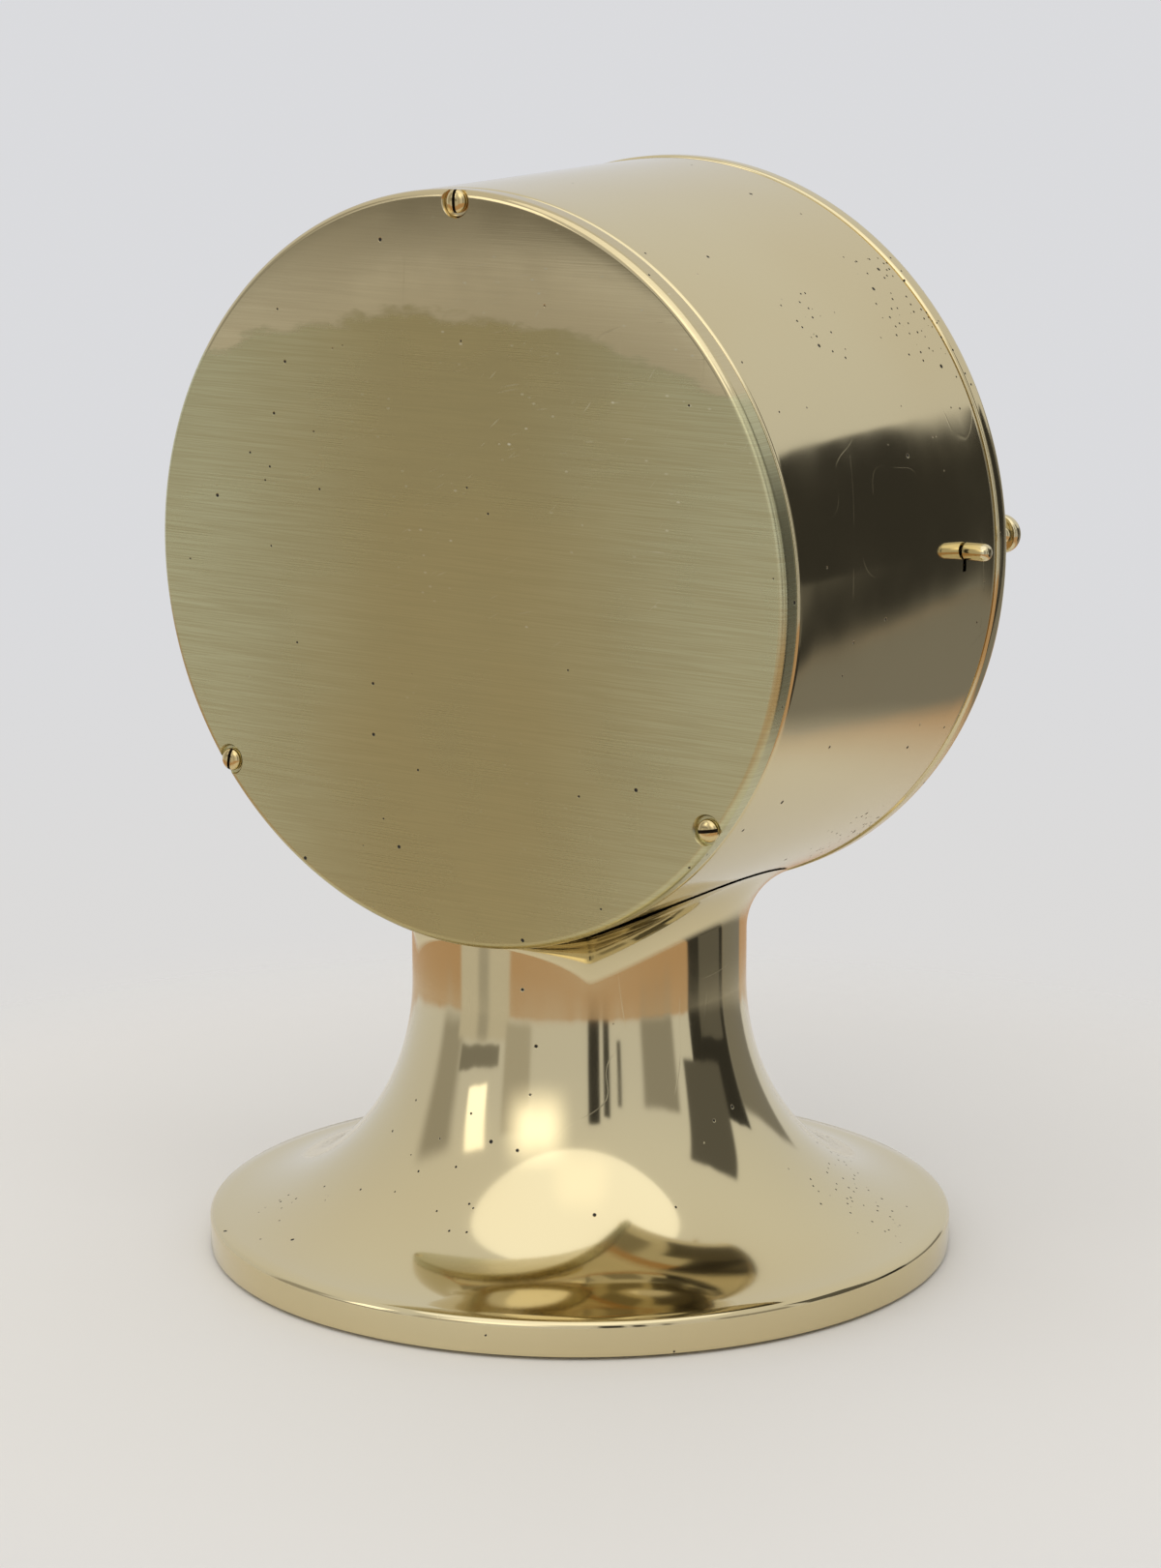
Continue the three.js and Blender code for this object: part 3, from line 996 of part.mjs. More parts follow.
PILLAR_ANGLES.forEach((angle, i) => {
  const [x, z] = polar(PILLAR_CIRCLE, angle);
  place(head, `movement_pillar_${i + 1}`, pillar(), MOVEMENT_BRASS, [x, 0, z]);
  place(head, `plate_screw_${i + 1}`, slottedScrew(SMALL_SCREW, 6.5, 35 * i), BLUED_STEEL,
    [x, BACK_PLATE_Y + PLATE_THICKNESS + TOUCH, z]);
});
place(head, 'centre_wheel', centreWheel(), MOVEMENT_BRASS);
place(head, 'third_wheel', thirdWheel(), MOVEMENT_BRASS, [third[0], 0, third[1]]);
place(head, 'fourth_wheel', fourthWheel(), MOVEMENT_BRASS, [fourth[0], 0, fourth[1]]);
place(head, 'escape_wheel', escapeWheel(), MOVEMENT_BRASS, [escape[0], 0, escape[1]]);
place(head, 'pallet_fork', palletFork(), STEEL, [pallet[0], 0, pallet[1]]);
place(head, 'balance_wheel', balanceWheel(), MOVEMENT_BRASS, [balance[0], 0, balance[1]]);
place(head, 'hairspring', spiral(HAIRSPRING.inner, HAIRSPRING.outer, HAIRSPRING.turns, 0.25,
  ...HAIRSPRING.y, 36), BLUED_STEEL, [balance[0], 0, balance[1]]);
place(head, 'balance_cock', balanceCock(), MOVEMENT_BRASS, [balance[0], 0, balance[1]]);
place(head, 'mainspring_barrel', barrelWithWheel(), MOVEMENT_BRASS, [barrel[0], 0, barrel[1]]);
const MAINSPRING = { inner: 5.2, turns: 5, thickness: 0.5, clearance: 0.4, steps: 45 };
function mainspring() {
  const { inner, turns, thickness, clearance, steps } = MAINSPRING;
  const outer = BARREL.radius - BARREL.wall - clearance - thickness / 2 + 0.05;
  return spiral(inner, outer, turns, thickness, BARREL.frontY + clearance, BARREL.rearY - clearance, steps);
}
place(head, 'mainspring', mainspring(), BLUED_STEEL, [barrel[0], 0, barrel[1]]);
place(head, 'winding_arbor', windingArbor(), STEEL, [barrel[0], 0, barrel[1]]);
place(head, 'click', clickLever(), STEEL, [clickPost[0], 0, clickPost[1]]);
place(head, 'cannon_pinion', cannonPinion(), STEEL);
place(head, 'minute_wheel', minuteWheel(), MOVEMENT_BRASS, [minutePost[0], 0, minutePost[1]]);
place(head, 'hour_wheel', hourWheel(), MOVEMENT_BRASS);
place(head, 'minute_hand', turnedHand(hand(MINUTE_HAND, ARBOR + TOUCH), MINUTE_ANGLE), BLUED_STEEL);
place(head, 'hour_hand', turnedHand(hand(HOUR_HAND, HOUR_PIPE_BORE), HOUR_ANGLE), BLUED_STEEL);
place(head, 'seconds_hand', turnedHand(hand(SECONDS_HAND, PIVOT + TOUCH), 6 * SHOWN_TIME.seconds),
  BLUED_STEEL, [fourth[0], 0, fourth[1]]);

export default clock;
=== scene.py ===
"""Looks of a marine clock: a cast brass drum on a trumpet pedestal, seen from behind."""

import json
import logging
import math
from dataclasses import dataclass
from enum import Enum
from typing import Iterable, Sequence

import bmesh
import bpy
from mathutils import Matrix, Vector

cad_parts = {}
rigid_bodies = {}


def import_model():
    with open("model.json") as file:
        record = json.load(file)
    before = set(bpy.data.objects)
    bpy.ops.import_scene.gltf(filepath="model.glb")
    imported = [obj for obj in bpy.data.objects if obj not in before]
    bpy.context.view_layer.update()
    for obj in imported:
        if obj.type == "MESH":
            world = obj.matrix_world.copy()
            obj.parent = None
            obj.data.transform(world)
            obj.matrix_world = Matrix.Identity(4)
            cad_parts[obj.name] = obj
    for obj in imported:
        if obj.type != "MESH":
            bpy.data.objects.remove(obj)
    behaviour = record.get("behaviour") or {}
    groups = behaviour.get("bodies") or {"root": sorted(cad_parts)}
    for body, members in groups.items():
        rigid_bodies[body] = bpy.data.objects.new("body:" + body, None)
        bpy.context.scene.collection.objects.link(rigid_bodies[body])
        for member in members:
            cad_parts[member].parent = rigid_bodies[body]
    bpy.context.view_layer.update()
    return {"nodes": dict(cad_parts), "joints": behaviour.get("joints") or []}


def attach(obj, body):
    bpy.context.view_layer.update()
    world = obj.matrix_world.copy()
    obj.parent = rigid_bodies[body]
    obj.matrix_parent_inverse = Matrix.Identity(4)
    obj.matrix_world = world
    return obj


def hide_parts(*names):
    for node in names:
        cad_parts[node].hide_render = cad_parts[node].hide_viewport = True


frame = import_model()

LOG = logging.getLogger("marine_clock")
MM = 0.001
Point = tuple[float, float]
Point3 = tuple[float, float, float]
Colour = tuple[float, float, float]
Socket = bpy.types.NodeSocket
Shade = tuple[Socket, Socket, Socket]
Piece = bpy.types.Object

AXIS_HEIGHT = 195.1
FINE_SIDES = 224
PLAIN_SIDES = 160
KNOB_SIDES = 64
SHARP_ANGLE = math.radians(32)
WELD = 1e-6
FONT_SCALE = 1.32
SLOT_SHADE_FACES = "slot_shade_faces"
TURN = "turn"

COVER_SCREWS = {"top": 0, "left": 127, "right": -127}
COVER_SCREW_CIRCLE = 97.0
SCREW_HOLE = 1.65
DIAL_SCREW_ANGLES = (0, 120, 240)
DIAL_SCREW_CIRCLE = 81.5
SMALL_SCREW_HOLE = 1.35
BOLT_PLACES = (-22, 22)
BOLT_HOLE = 3.15
HINGE_SCREW_Y = -38.0
HINGE_SCREW_RISES = (9.5, -9.5)
SEAT_GAP = 0.1


class Body(str, Enum):
    """The rigid bodies that pieces ride on."""

    CASE = "case"
    BEZEL = "bezel"
    LATCH = "latch"
    MINUTES = "centre_arbor"
    HOURS = "hour_pipe"
    SECONDS = "seconds_arbor"
    BARREL = "barrel"


class Slot(str, Enum):
    """The finishes of the record."""

    POLISHED = "polished_brass"
    BRUSHED = "brushed_brass"
    MOVEMENT = "movement_brass"
    STEEL = "steel"
    BLUED = "blued_steel"
    DIAL = "dial_white"
    GLASS = "clear_glass"
    FELT = "green_felt"


class Axis(Enum):
    """The way a turned piece's axis points."""

    Y = 0
    Z = 1
    X = 2


class Graph:
    """A node tree that is filled by short calls."""

    def __init__(self, tree: bpy.types.NodeTree) -> None:
        """Keeps the tree.

        Args:
            tree: the shader or geometry tree to fill.
        """
        self.tree = tree

    def add(self, kind: str, inputs: dict | None = None, **settings) -> bpy.types.Node:
        """Adds a node, sets it and fills its inputs.

        Args:
            kind: the node's type.
            inputs: socket name or index to a value or to a socket to link.
            settings: the node's own properties.

        Returns:
            The new node.
        """
        node = self.tree.nodes.new(kind)
        for key, value in settings.items():
            setattr(node, key, value)
        for key, value in (inputs or {}).items():
            self.put(node.inputs[key], value)
        return node

    def put(self, socket: Socket, value: object) -> None:
        """Links a socket or sets its value.

        Args:
            socket: the input.
            value: an output socket, or a plain value.
        """
        if isinstance(value, Socket):
            self.tree.links.new(value, socket)
        else:
            socket.default_value = value

    def math(self, operation: str, *values: float | Socket) -> Socket:
        """Adds a Math node.

        Args:
            operation: the sum.
            values: numbers or sockets.

        Returns:
            The result's socket.
        """
        return self.add("ShaderNodeMath", dict(enumerate(values)), operation=operation).outputs[0]


class ShaderGraph(Graph):
    """A shader tree with the small steps that the finishes share."""

    def ramp(self, value: Socket, low: float, high: float, to_low: float = 0.0,
             to_high: float = 1.0) -> Socket:
        """Maps a value smoothly from one range to another.

        Args:
            value: the socket to map.
            low: the value that gives to_low.
            high: the value that gives to_high.
            to_low: the result at and below low.
            to_high: the result at and above high.

        Returns:
            The mapped socket.
        """
        node = self.add("ShaderNodeMapRange", {0: value, 1: low, 2: high, 3: to_low, 4: to_high},
                        interpolation_type="SMOOTHSTEP")
        return node.outputs[0]

    def blend(self, factor: Socket, first: Colour | Socket, second: Colour | Socket) -> Socket:
        """Mixes two colours.

        Args:
            factor: the share of the second colour.
            first: a colour or socket.
            second: a colour or socket.

        Returns:
            The mixed colour's socket.
        """
        node = self.add("ShaderNodeMix", data_type="RGBA")
        self.put(node.inputs[0], factor)
        for index, colour in ((6, first), (7, second)):
            self.put(node.inputs[index], colour if isinstance(colour, Socket) else (*colour, 1.0))
        return node.outputs[2]

    def place(self, scale: Point3 = (1, 1, 1), turn: Point3 = (0, 0, 0)) -> Socket:
        """Object coordinates in metres, turned and scaled.

        Args:
            scale: the factor along each axis.
            turn: the turn about each axis, in radians.

        Returns:
            The vector's socket.
        """
        source = self.add("ShaderNodeTexCoord").outputs["Object"]
        node = self.add("ShaderNodeMapping", {"Vector": source, "Rotation": turn, "Scale": scale})
        return node.outputs[0]

    def noise(self, vector: Socket, scale: float, detail: float = 2.0, rough: float = 0.5) -> Socket:
        """Adds a noise texture.

        Args:
            vector: the coordinates.
            scale: features to the metre.
            detail: octaves.
            rough: how strong the fine octaves are.

        Returns:
            The noise's value.
        """
        node = self.add("ShaderNodeTexNoise", {"Vector": vector, "Scale": scale, "Detail": detail,
                                               "Roughness": rough})
        return node.outputs[0]

    def away_from(self, place: Socket, point: Point3) -> Socket:
        """The distance in metres from a point in millimetres.

        Args:
            place: object coordinates.
            point: the point.

        Returns:
            The distance's socket.
        """
        ends = {0: place, 1: tuple(c * MM for c in point)}
        return self.add("ShaderNodeVectorMath", ends, operation="DISTANCE").outputs["Value"]

    def cells(self, vector: Socket, scale: float) -> tuple[Socket, Socket]:
        """Adds a cell texture.

        Args:
            vector: the coordinates.
            scale: cells to the metre.

        Returns:
            A number between 0 and 1 for each cell, and the distance from its middle.
        """
        node = self.add("ShaderNodeTexVoronoi", {"Vector": vector, "Scale": scale, "Randomness": 1.0})
        chance = self.add("ShaderNodeSeparateColor", {0: node.outputs["Color"]}).outputs[0]
        return chance, node.outputs["Distance"]

    def bump(self, height: Socket, distance: float, strength: float = 1.0,
             normal: Socket | None = None) -> Socket:
        """Adds a bump.

        Args:
            height: the height's socket.
            distance: the height of a value of 1, in metres.
            strength: the share of the bump that is used.
            normal: the normal to start from.

        Returns:
            The bumped normal.
        """
        inputs = {"Height": height, "Distance": distance, "Strength": strength}
        if normal is not None:
            inputs["Normal"] = normal
        return self.add("ShaderNodeBump", inputs).outputs[0]


def new_material(name: str) -> tuple[bpy.types.Material, ShaderGraph]:
    """Makes an empty node material.

    Args:
        name: the material's name.

    Returns:
        The material and its graph.
    """
    material = bpy.data.materials.new(name)
    material.use_nodes = True
    material.node_tree.nodes.clear()
    return material, ShaderGraph(material.node_tree)


def surface(graph: ShaderGraph, inputs: dict) -> None:
    """Ends a material with a Principled shader.

    Args:
        graph: the material's graph.
        inputs: the shader's inputs.
    """
    shader = graph.add("ShaderNodeBsdfPrincipled", inputs)
    graph.add("ShaderNodeOutputMaterial", {"Surface": shader.outputs[0]})


@dataclass(frozen=True)
class Finish:
    """A finish, made as one Principled shader."""

    name: str

    def build(self) -> bpy.types.Material:
        """Builds the material."""
        material, g = new_material(self.name)
        surface(g, self.inputs(g))
        return material

    def inputs(self, g: ShaderGraph) -> dict:
        """Fills the graph with what the shader needs.

        Args:
            g: the material's graph.

        Returns:
            The shader's inputs by name.
        """
        raise NotImplementedError


@dataclass(frozen=True)
class PitPatch:
    """A place where a casting is porous, in millimetres."""

    at: Point3
    reach: float


@dataclass(frozen=True)
class PitSize:
    """One size of casting pit: its cells and radius, and its odds on sound and on porous ground."""

    scale: float
    radius: float
    odds: float
    crowded: float


PIT_SIZES = (PitSize(250, 0.17, 0.022, 0.08), PitSize(600, 0.25, 0.003, 0.36))
PIT_COLOUR = (0.012, 0.01, 0.007)


@dataclass(frozen=True)
class Brass(Finish):
    """Cast or rolled brass: polish, a little tarnish, casting pits and hairlines."""

    colour: Colour = (0.69, 0.60, 0.375)
    warm: Colour = (0.64, 0.52, 0.29)
    roughness: float = 0.06
    patchiness: float = 0.05
    pits: float = 0.0
    waves: float = 0.0
    hairlines: float = 0.0
    patches: tuple[PitPatch, ...] = ()
    patch_scale: float = 26.0
    tarnish_scale: float = 11.0
    porous_scale: float = 14.0
    wave_scale: float = 42.0
    wave_height: float = 0.0004
    pit_depth: float = 0.0002
    scratch_depth: float = 0.000012

    def inputs(self, g: ShaderGraph) -> dict:
        """The polish, and then a tool's marks, hairlines and pits where it has them."""
        place = g.place()
        patchy = g.noise(place, self.patch_scale, 3)
        rough = g.ramp(patchy, 0.3, 0.7, self.roughness, self.roughness + self.patchiness)
        tarnish = g.ramp(g.noise(place, self.tarnish_scale, 2), 0.35, 0.75, 0.0, 0.4)
        colour = g.blend(tarnish, self.colour, self.warm)
        normal = g.bump(g.noise(place, self.wave_scale, 1), self.wave_height, self.waves)
        colour, rough, normal = self.worked(g, place, colour, rough, normal)
        if self.hairlines > 0:
            rough, normal = self.scratched(g, rough, normal)
        metallic = 1.0
        if self.pits > 0:
            pit = self.pitted(g, place)
            colour = g.blend(pit, colour, PIT_COLOUR)
            rough = g.math("MAXIMUM", rough, g.math("MULTIPLY", pit, 0.7))
            metallic = g.math("SUBTRACT", 1.0, g.math("MULTIPLY", pit, 0.8))
            normal = g.bump(g.math("SUBTRACT", 1.0, pit), self.pit_depth, 0.6, normal)
        return {"Base Color": colour, "Metallic": metallic, "Roughness": rough, "Normal": normal}

    def worked(self, g: ShaderGraph, place: Socket, colour: Socket, rough: Socket, normal: Socket) -> Shade:
        """Adds a tool's marks; a plain polish has none.

        Args:
            g: the graph.
            place: object coordinates.
            colour: the colour so far.
            rough: the roughness so far.
            normal: the normal so far.

        Returns:
            The new colour, roughness and normal.
        """
        return colour, rough, normal

    def scratched(self, g: ShaderGraph, rough: Socket, normal: Socket) -> tuple[Socket, Socket]:
        """Adds fine hairlines that come and go.

        Args:
            g: the graph.
            rough: the roughness so far.
            normal: the normal so far.

        Returns:
            The new roughness and normal.
        """
        for turn, scale in ((0.5, (26, 26, 5)), (-0.8, (5, 22, 26))):
            place = g.place(scale, (turn, turn * 0.6, turn * 1.3))
            line = g.math("ABSOLUTE", g.math("SUBTRACT", g.noise(place, 1.0, 1), 0.5))
            thin = g.ramp(line, 0.0, 0.0012, 1.0, 0.0)
            where = g.ramp(g.noise(g.place((1, 1, 1), (turn, 0, 0)), 38, 2), 0.54, 0.64)
            scratch = g.math("MULTIPLY", thin, where)
            rough = g.math("ADD", rough, g.math("MULTIPLY", scratch, 0.16 * self.hairlines))
            normal = g.bump(scratch, -self.scratch_depth, self.hairlines, normal)
        return rough, normal

    def pitted(self, g: ShaderGraph, place: Socket) -> Socket:
        """Small casting pits in two sizes, thicker on the ground in the porous patches.

        Args:
            g: the graph.
            place: object coordinates.

        Returns:
            A mask that is 1 in a pit.
        """
        crowd = g.math("MULTIPLY", g.ramp(g.noise(place, self.porous_scale, 2), 0.56, 0.7), 0.06)
        for patch in self.patches:
            away = g.away_from(place, patch.at)
            near = g.ramp(away, patch.reach * 0.3 * MM, patch.reach * MM, 1.0, 0.0)
            crowd = g.math("MAXIMUM", crowd, near)
        masks = []
        for size in PIT_SIZES:
            chance, away = g.cells(place, size.scale)
            crowded = g.math("MULTIPLY", crowd, size.crowded * self.pits)
            chosen = g.math("GREATER_THAN", chance, g.math("SUBTRACT", 1 - size.odds * self.pits, crowded))
            hole = g.ramp(away, size.radius * 0.6, size.radius, 1.0, 0.0)
            masks.append(g.math("MULTIPLY", chosen, hole))
        return g.math("MAXIMUM", *masks)


@dataclass(frozen=True)
class BrushedBrass(Brass):
    """Brass brushed sideways, with a painted reflection that makes it paler towards the rim, a polished
    crescent at the top whose tan colour is a painted reflection, and pale scuffs.
    """

    brushing: float = 0.11
    brush_depth: float = 0.00004
    fine_brush: Point3 = (42, 42, 3400)
    broad_brush: Point3 = (14, 14, 900)
    askew: Point3 = (0.52, 0.37, 0.61)
    # Painted reflection: the cover turns paler towards its left and right edges, as if it mirrored a brighter
    # part of the room there.
    rim_band: Point = (0.03, 0.105)
    rim: Colour = (0.62, 0.605, 0.375)
    # Painted reflection: the tan tint of the crescent at the top stands in for the room that the curved rim
    # mirrors.
    buffed: Colour = (0.66, 0.55, 0.34)
    crescent_from: float = 66.0
    crescent_soft: float = 3.0
    crescent_bend: float = 2.2
    torn_scale: Point3 = (60, 60, 160)
    torn_depth: float = 0.012
    scuffed: Colour = (0.80, 0.79, 0.62)
    scuffed_at: Point3 = (-34.0, 56.0, 232.0)
    scuffed_reach: float = 78.0
    sweep_centres: tuple[Point3, ...] = ((70.0, 56.0, 330.0), (-60.0, 56.0, 60.0))
    rings_to_metre: float = 1500.0
    rings_to_turn: float = 16.0
    fleck_cells: float = 420.0

    def scuffs(self, g: ShaderGraph, place: Socket) -> Socket:
        """Pale marks of hand polishing, flecks and thin arcs, most of them high on the latch's side.

        Args:
            g: the graph.
            place: object coordinates.

        Returns:
            A mask that is 1 in a mark.
        """
        arcs = []
        for centre in self.sweep_centres:
            middle = tuple(c * MM for c in centre)
            apart = g.add("ShaderNodeVectorMath", {0: place, 1: middle}, operation="SUBTRACT").outputs[0]
            parts = g.add("ShaderNodeSeparateXYZ", {0: apart}).outputs
            away = g.add("ShaderNodeVectorMath", {0: apart}, operation="LENGTH").outputs["Value"]
            turn = g.math("ARCTAN2", parts[2], parts[0])
            strand = g.add("ShaderNodeCombineXYZ", {
                0: g.math("MULTIPLY", away, self.rings_to_metre),
                1: g.math("MULTIPLY", turn, self.rings_to_turn),
                2: centre[0],
            }).outputs[0]
            arcs.append(g.ramp(g.noise(strand, 1.0, 1), 0.70, 0.80, 0.0, 0.5))
        chance, away = g.cells(g.place((1, 1, 1.8), self.askew), self.fleck_cells)
        fleck = g.math("MULTIPLY", g.math("GREATER_THAN", chance, 0.94), g.ramp(away, 0.12, 0.3, 0.9, 0.0))
        near = g.ramp(g.away_from(place, self.scuffed_at), 0.0, self.scuffed_reach * MM, 1.0, 0.12)
        patchy = g.ramp(g.noise(place, 46, 2), 0.4, 0.62)
        marks = g.math("MAXIMUM", g.math("MAXIMUM", *arcs), fleck)
        return g.math("MULTIPLY", marks, g.math("MULTIPLY", near, patchy))

    def worked(self, g: ShaderGraph, place: Socket, colour: Socket, rough: Socket, normal: Socket) -> Shade:
        """Adds the brushing, the painted reflection that makes the rim paler, the polished crescent with its
        painted reflection colour, and the scuffs.

        Args:
            g: the graph.
            place: object coordinates.
            colour: the colour so far.
            rough: the roughness so far.
            normal: the normal so far.

        Returns:
            The new colour, roughness and normal.
        """
        parts = g.add("ShaderNodeSeparateXYZ", {0: place}).outputs
        up = g.math("SUBTRACT", parts[2], AXIS_HEIGHT * MM)
        fine = g.noise(g.place(self.fine_brush, self.askew), 1.0, 2)
        broad = g.noise(g.place(self.broad_brush, self.askew), 1.0, 3)
        line = g.math("ADD", g.math("MULTIPLY", fine, 0.8), g.math("MULTIPLY", broad, 0.2))
        shade = g.ramp(line, 0.34, 0.66, 0.0, 0.4)
        # Painted reflection: the colour turns paler towards the left and right edges.
        across = g.math("ADD", g.math("ABSOLUTE", parts[0]), g.math("MULTIPLY", g.noise(place, 18, 3), 0.03))
        colour = g.blend(g.ramp(across, *self.rim_band), colour, self.rim)
        colour = g.blend(shade, colour, tuple(0.82 * c for c in self.colour))
        torn = g.noise(g.place(self.torn_scale), 1.0, 4, 0.6)
        ragged = g.math("MULTIPLY", g.math("SUBTRACT", torn, 0.5), self.torn_depth)
        bend = g.math("MULTIPLY", g.math("MULTIPLY", parts[0], parts[0]), self.crescent_bend)
        edge = g.math("ADD", g.math("ADD", up, ragged), bend)
        top = g.ramp(edge, self.crescent_from * MM, (self.crescent_from + self.crescent_soft) * MM)
        rough = g.math("ADD", rough, g.math("MULTIPLY", g.math("SUBTRACT", line, 0.5), self.brushing))
        rough = g.math("SUBTRACT", rough, g.math("MULTIPLY", top, self.roughness * 0.75))
        # Painted reflection: the crescent's tan tint. The roughness drop above it is a real polish.
        colour = g.blend(g.math("MULTIPLY", top, 0.75), colour, self.buffed)
        scuff = self.scuffs(g, place)
        colour = g.blend(scuff, colour, self.scuffed)
        rough = g.math("ADD", rough, g.math("MULTIPLY", scuff, 0.2))
        return colour, rough, g.bump(line, self.brush_depth, 0.05, normal)


@dataclass(frozen=True)
class Steel(Finish):
    """Bright or blued steel with a fine grain."""

    colour: Colour = (0.52, 0.53, 0.55)
    roughness: float = 0.26
    tint: Colour = (0.44, 0.44, 0.45)
    grain_scale: Point3 = (40, 40, 900)
    grain_depth: float = 0.00003

    def inputs(self, g: ShaderGraph) -> dict:
        """A long grain and a slow cloud of tint."""
        grain = g.noise(g.place(self.grain_scale), 1.0, 3)
        cloud = g.noise(g.place(), 60, 2)
        return {
            "Base Color": g.blend(g.ramp(cloud, 0.35, 0.7), self.colour, self.tint),
            "Metallic": 1.0,
            "Roughness": g.ramp(grain, 0.3, 0.7, self.roughness - 0.05, self.roughness + 0.08),
            "Normal": g.bump(grain, self.grain_depth, 0.4),
        }


@dataclass(frozen=True)
class Enamel(Finish):
    """Stoved paint with a faint orange peel and a little yellowing."""

    colour: Colour = (0.84, 0.82, 0.75)
    aged: Colour = (0.78, 0.73, 0.61)
    roughness: float = 0.38
    peel_scale: float = 900.0
    peel_depth: float = 0.00002

    def inputs(self, g: ShaderGraph) -> dict:
        """Yellowed clouds and specks on paint with a little peel."""
        place = g.place()
        age = g.ramp(g.noise(place, 16, 4, 0.6), 0.45, 0.8, 0.0, 0.55)
        speck = g.ramp(g.noise(place, 420, 1), 0.74, 0.8, 0.0, 0.35)
        return {
            "Base Color": g.blend(g.math("MAXIMUM", age, speck), self.colour, self.aged),
            "Roughness": g.ramp(g.noise(place, 55, 2), 0.3, 0.7, self.roughness, self.roughness + 0.12),
            "Normal": g.bump(g.noise(place, self.peel_scale, 1), self.peel_depth, 0.5),
        }


@dataclass(frozen=True)
class Glass(Finish):
    """Clear flat glass with a trace of dust."""

    colour: Colour = (0.97, 0.99, 0.98)
    bending: float = 1.46

    def inputs(self, g: ShaderGraph) -> dict:
        """Glass that dust dulls here and there."""
        dust = g.ramp(g.noise(g.place(), 320, 3), 0.62, 0.8, 0.0, 0.12)
        return {"Base Color": (*self.colour, 1.0), "Roughness": dust, "IOR": self.bending,
                "Transmission Weight": 1.0}


@dataclass(frozen=True)
class Felt(Finish):
    """Pressed wool felt: matted fibres over a soft, uneven ground."""

    colour: Colour = (0.022, 0.052, 0.034)
    lint: Colour = (0.06, 0.11, 0.08)
    fibre_scale: Point3 = (900, 300, 900)
    pile_depth: float = 0.0004

    def inputs(self, g: ShaderGraph) -> dict:
        """Fibres over a mat, with a sheen."""
        place = g.place()
        fibre = g.noise(g.place(self.fibre_scale, (0.3, 0.2, 0.7)), 1.0, 4, 0.7)
        mat = g.noise(place, 240, 4, 0.7)
        tuft = g.math("MULTIPLY", g.math("ADD", fibre, mat), 0.5)
        return {
            "Base Color": g.blend(g.ramp(tuft, 0.4, 0.66), self.colour, self.lint),
            "Roughness": 0.95,
            "Sheen Weight": 0.25,
            "Normal": g.bump(tuft, self.pile_depth, 0.8),
        }


@dataclass(frozen=True)
class Ink(Finish):
    """Printed dial markings, dense and slightly uneven."""

    colour: Colour = (0.014, 0.014, 0.016)
    worn: Colour = (0.05, 0.048, 0.045)

    def inputs(self, g: ShaderGraph) -> dict:
        """Dense ink, worn in small clouds."""
        wear = g.ramp(g.noise(g.place(), 260, 3), 0.55, 0.8, 0.0, 0.5)
        return {"Base Color": g.blend(wear, self.colour, self.worn), "Roughness": 0.5}


CASTING_PATCHES = (
    PitPatch((-74, -26, 10), 26), PitPatch((-56, -43, 16), 14), PitPatch((62, 58, 16), 12),
    PitPatch((-66, -34, 121), 20), PitPatch((-76, -46, 260), 30), PitPatch((-76, 4, 260), 14),
    PitPatch((60, -10, 270), 20),
)

FINISHES: dict[Slot, Finish] = {
    Slot.POLISHED: Brass("polished_cast_brass", pits=1.0, waves=0.1, hairlines=0.4, patches=CASTING_PATCHES),
    Slot.BRUSHED: BrushedBrass("brushed_sheet_brass", colour=(0.50, 0.42, 0.205), warm=(0.475, 0.39, 0.185),
                               roughness=0.24, patchiness=0.08, pits=1.0, hairlines=0.5),
    Slot.MOVEMENT: Brass("movement_brass", colour=(0.66, 0.50, 0.22), warm=(0.60, 0.42, 0.16),
                         roughness=0.22, patchiness=0.1),
    Slot.STEEL: Steel("bright_steel"),
    Slot.BLUED: Steel("blued_steel", colour=(0.02, 0.022, 0.036), roughness=0.2, tint=(0.035, 0.035, 0.06)),
    Slot.DIAL: Enamel("dial_enamel"),
    Slot.GLASS: Glass("clear_glass"),
    Slot.FELT: Felt("green_felt"),
}
DIAL_INK = Ink("dial_ink")
SCREW_BRASS = Brass("screw_brass", colour=(0.68, 0.54, 0.27), roughness=0.12, hairlines=0.6)
# Painted shade: a near-black brass for the faces inside the screw slots, standing in for the shadow in the
# narrow slots.
PAINTED_SLOT_SHADE = Brass("painted_shade_in_the_slots", colour=(0.05, 0.036, 0.022), warm=(0.02, 0.014, 0.01),
                   roughness=0.6, patchiness=0.2)


class Finishes:
    """Builds each material once and hands it out."""

    def __init__(self) -> None:
        """Builds every finish of the record, and the dial's ink, the screws' brass and the painted shade
        inside their slots.
        """
        self.materials = {slot: finish.build() for slot, finish in FINISHES.items()}
        self.ink = DIAL_INK.build()
        self.screw = SCREW_BRASS.build()
        self.grime = PAINTED_SLOT_SHADE.build()

    def __getitem__(self, slot: Slot) -> bpy.types.Material:
        """The material of a slot."""
        return self.materials[slot]


def polar(radius: float, degrees: float, centre: Point = (0.0, 0.0)) -> Point:
    """A point on a circle.

    Args:
        radius: the circle's radius.
        degrees: the angle from the first axis.
        centre: the circle's centre.

    Returns:
        The point.
    """
    angle = math.radians(degrees)
    return centre[0] + radius * math.cos(angle), centre[1] + radius * math.sin(angle)


def on_clock(radius: float, degrees: float) -> Point:
    """A point in X and Z by its angle from 12 o'clock towards +X."""
    return polar(radius, 90 - degrees)


def raised(point: Point) -> Point:
    """A place in X and Z from the drum's axis, as X and Z above the table."""
    return point[0], point[1] + AXIS_HEIGHT


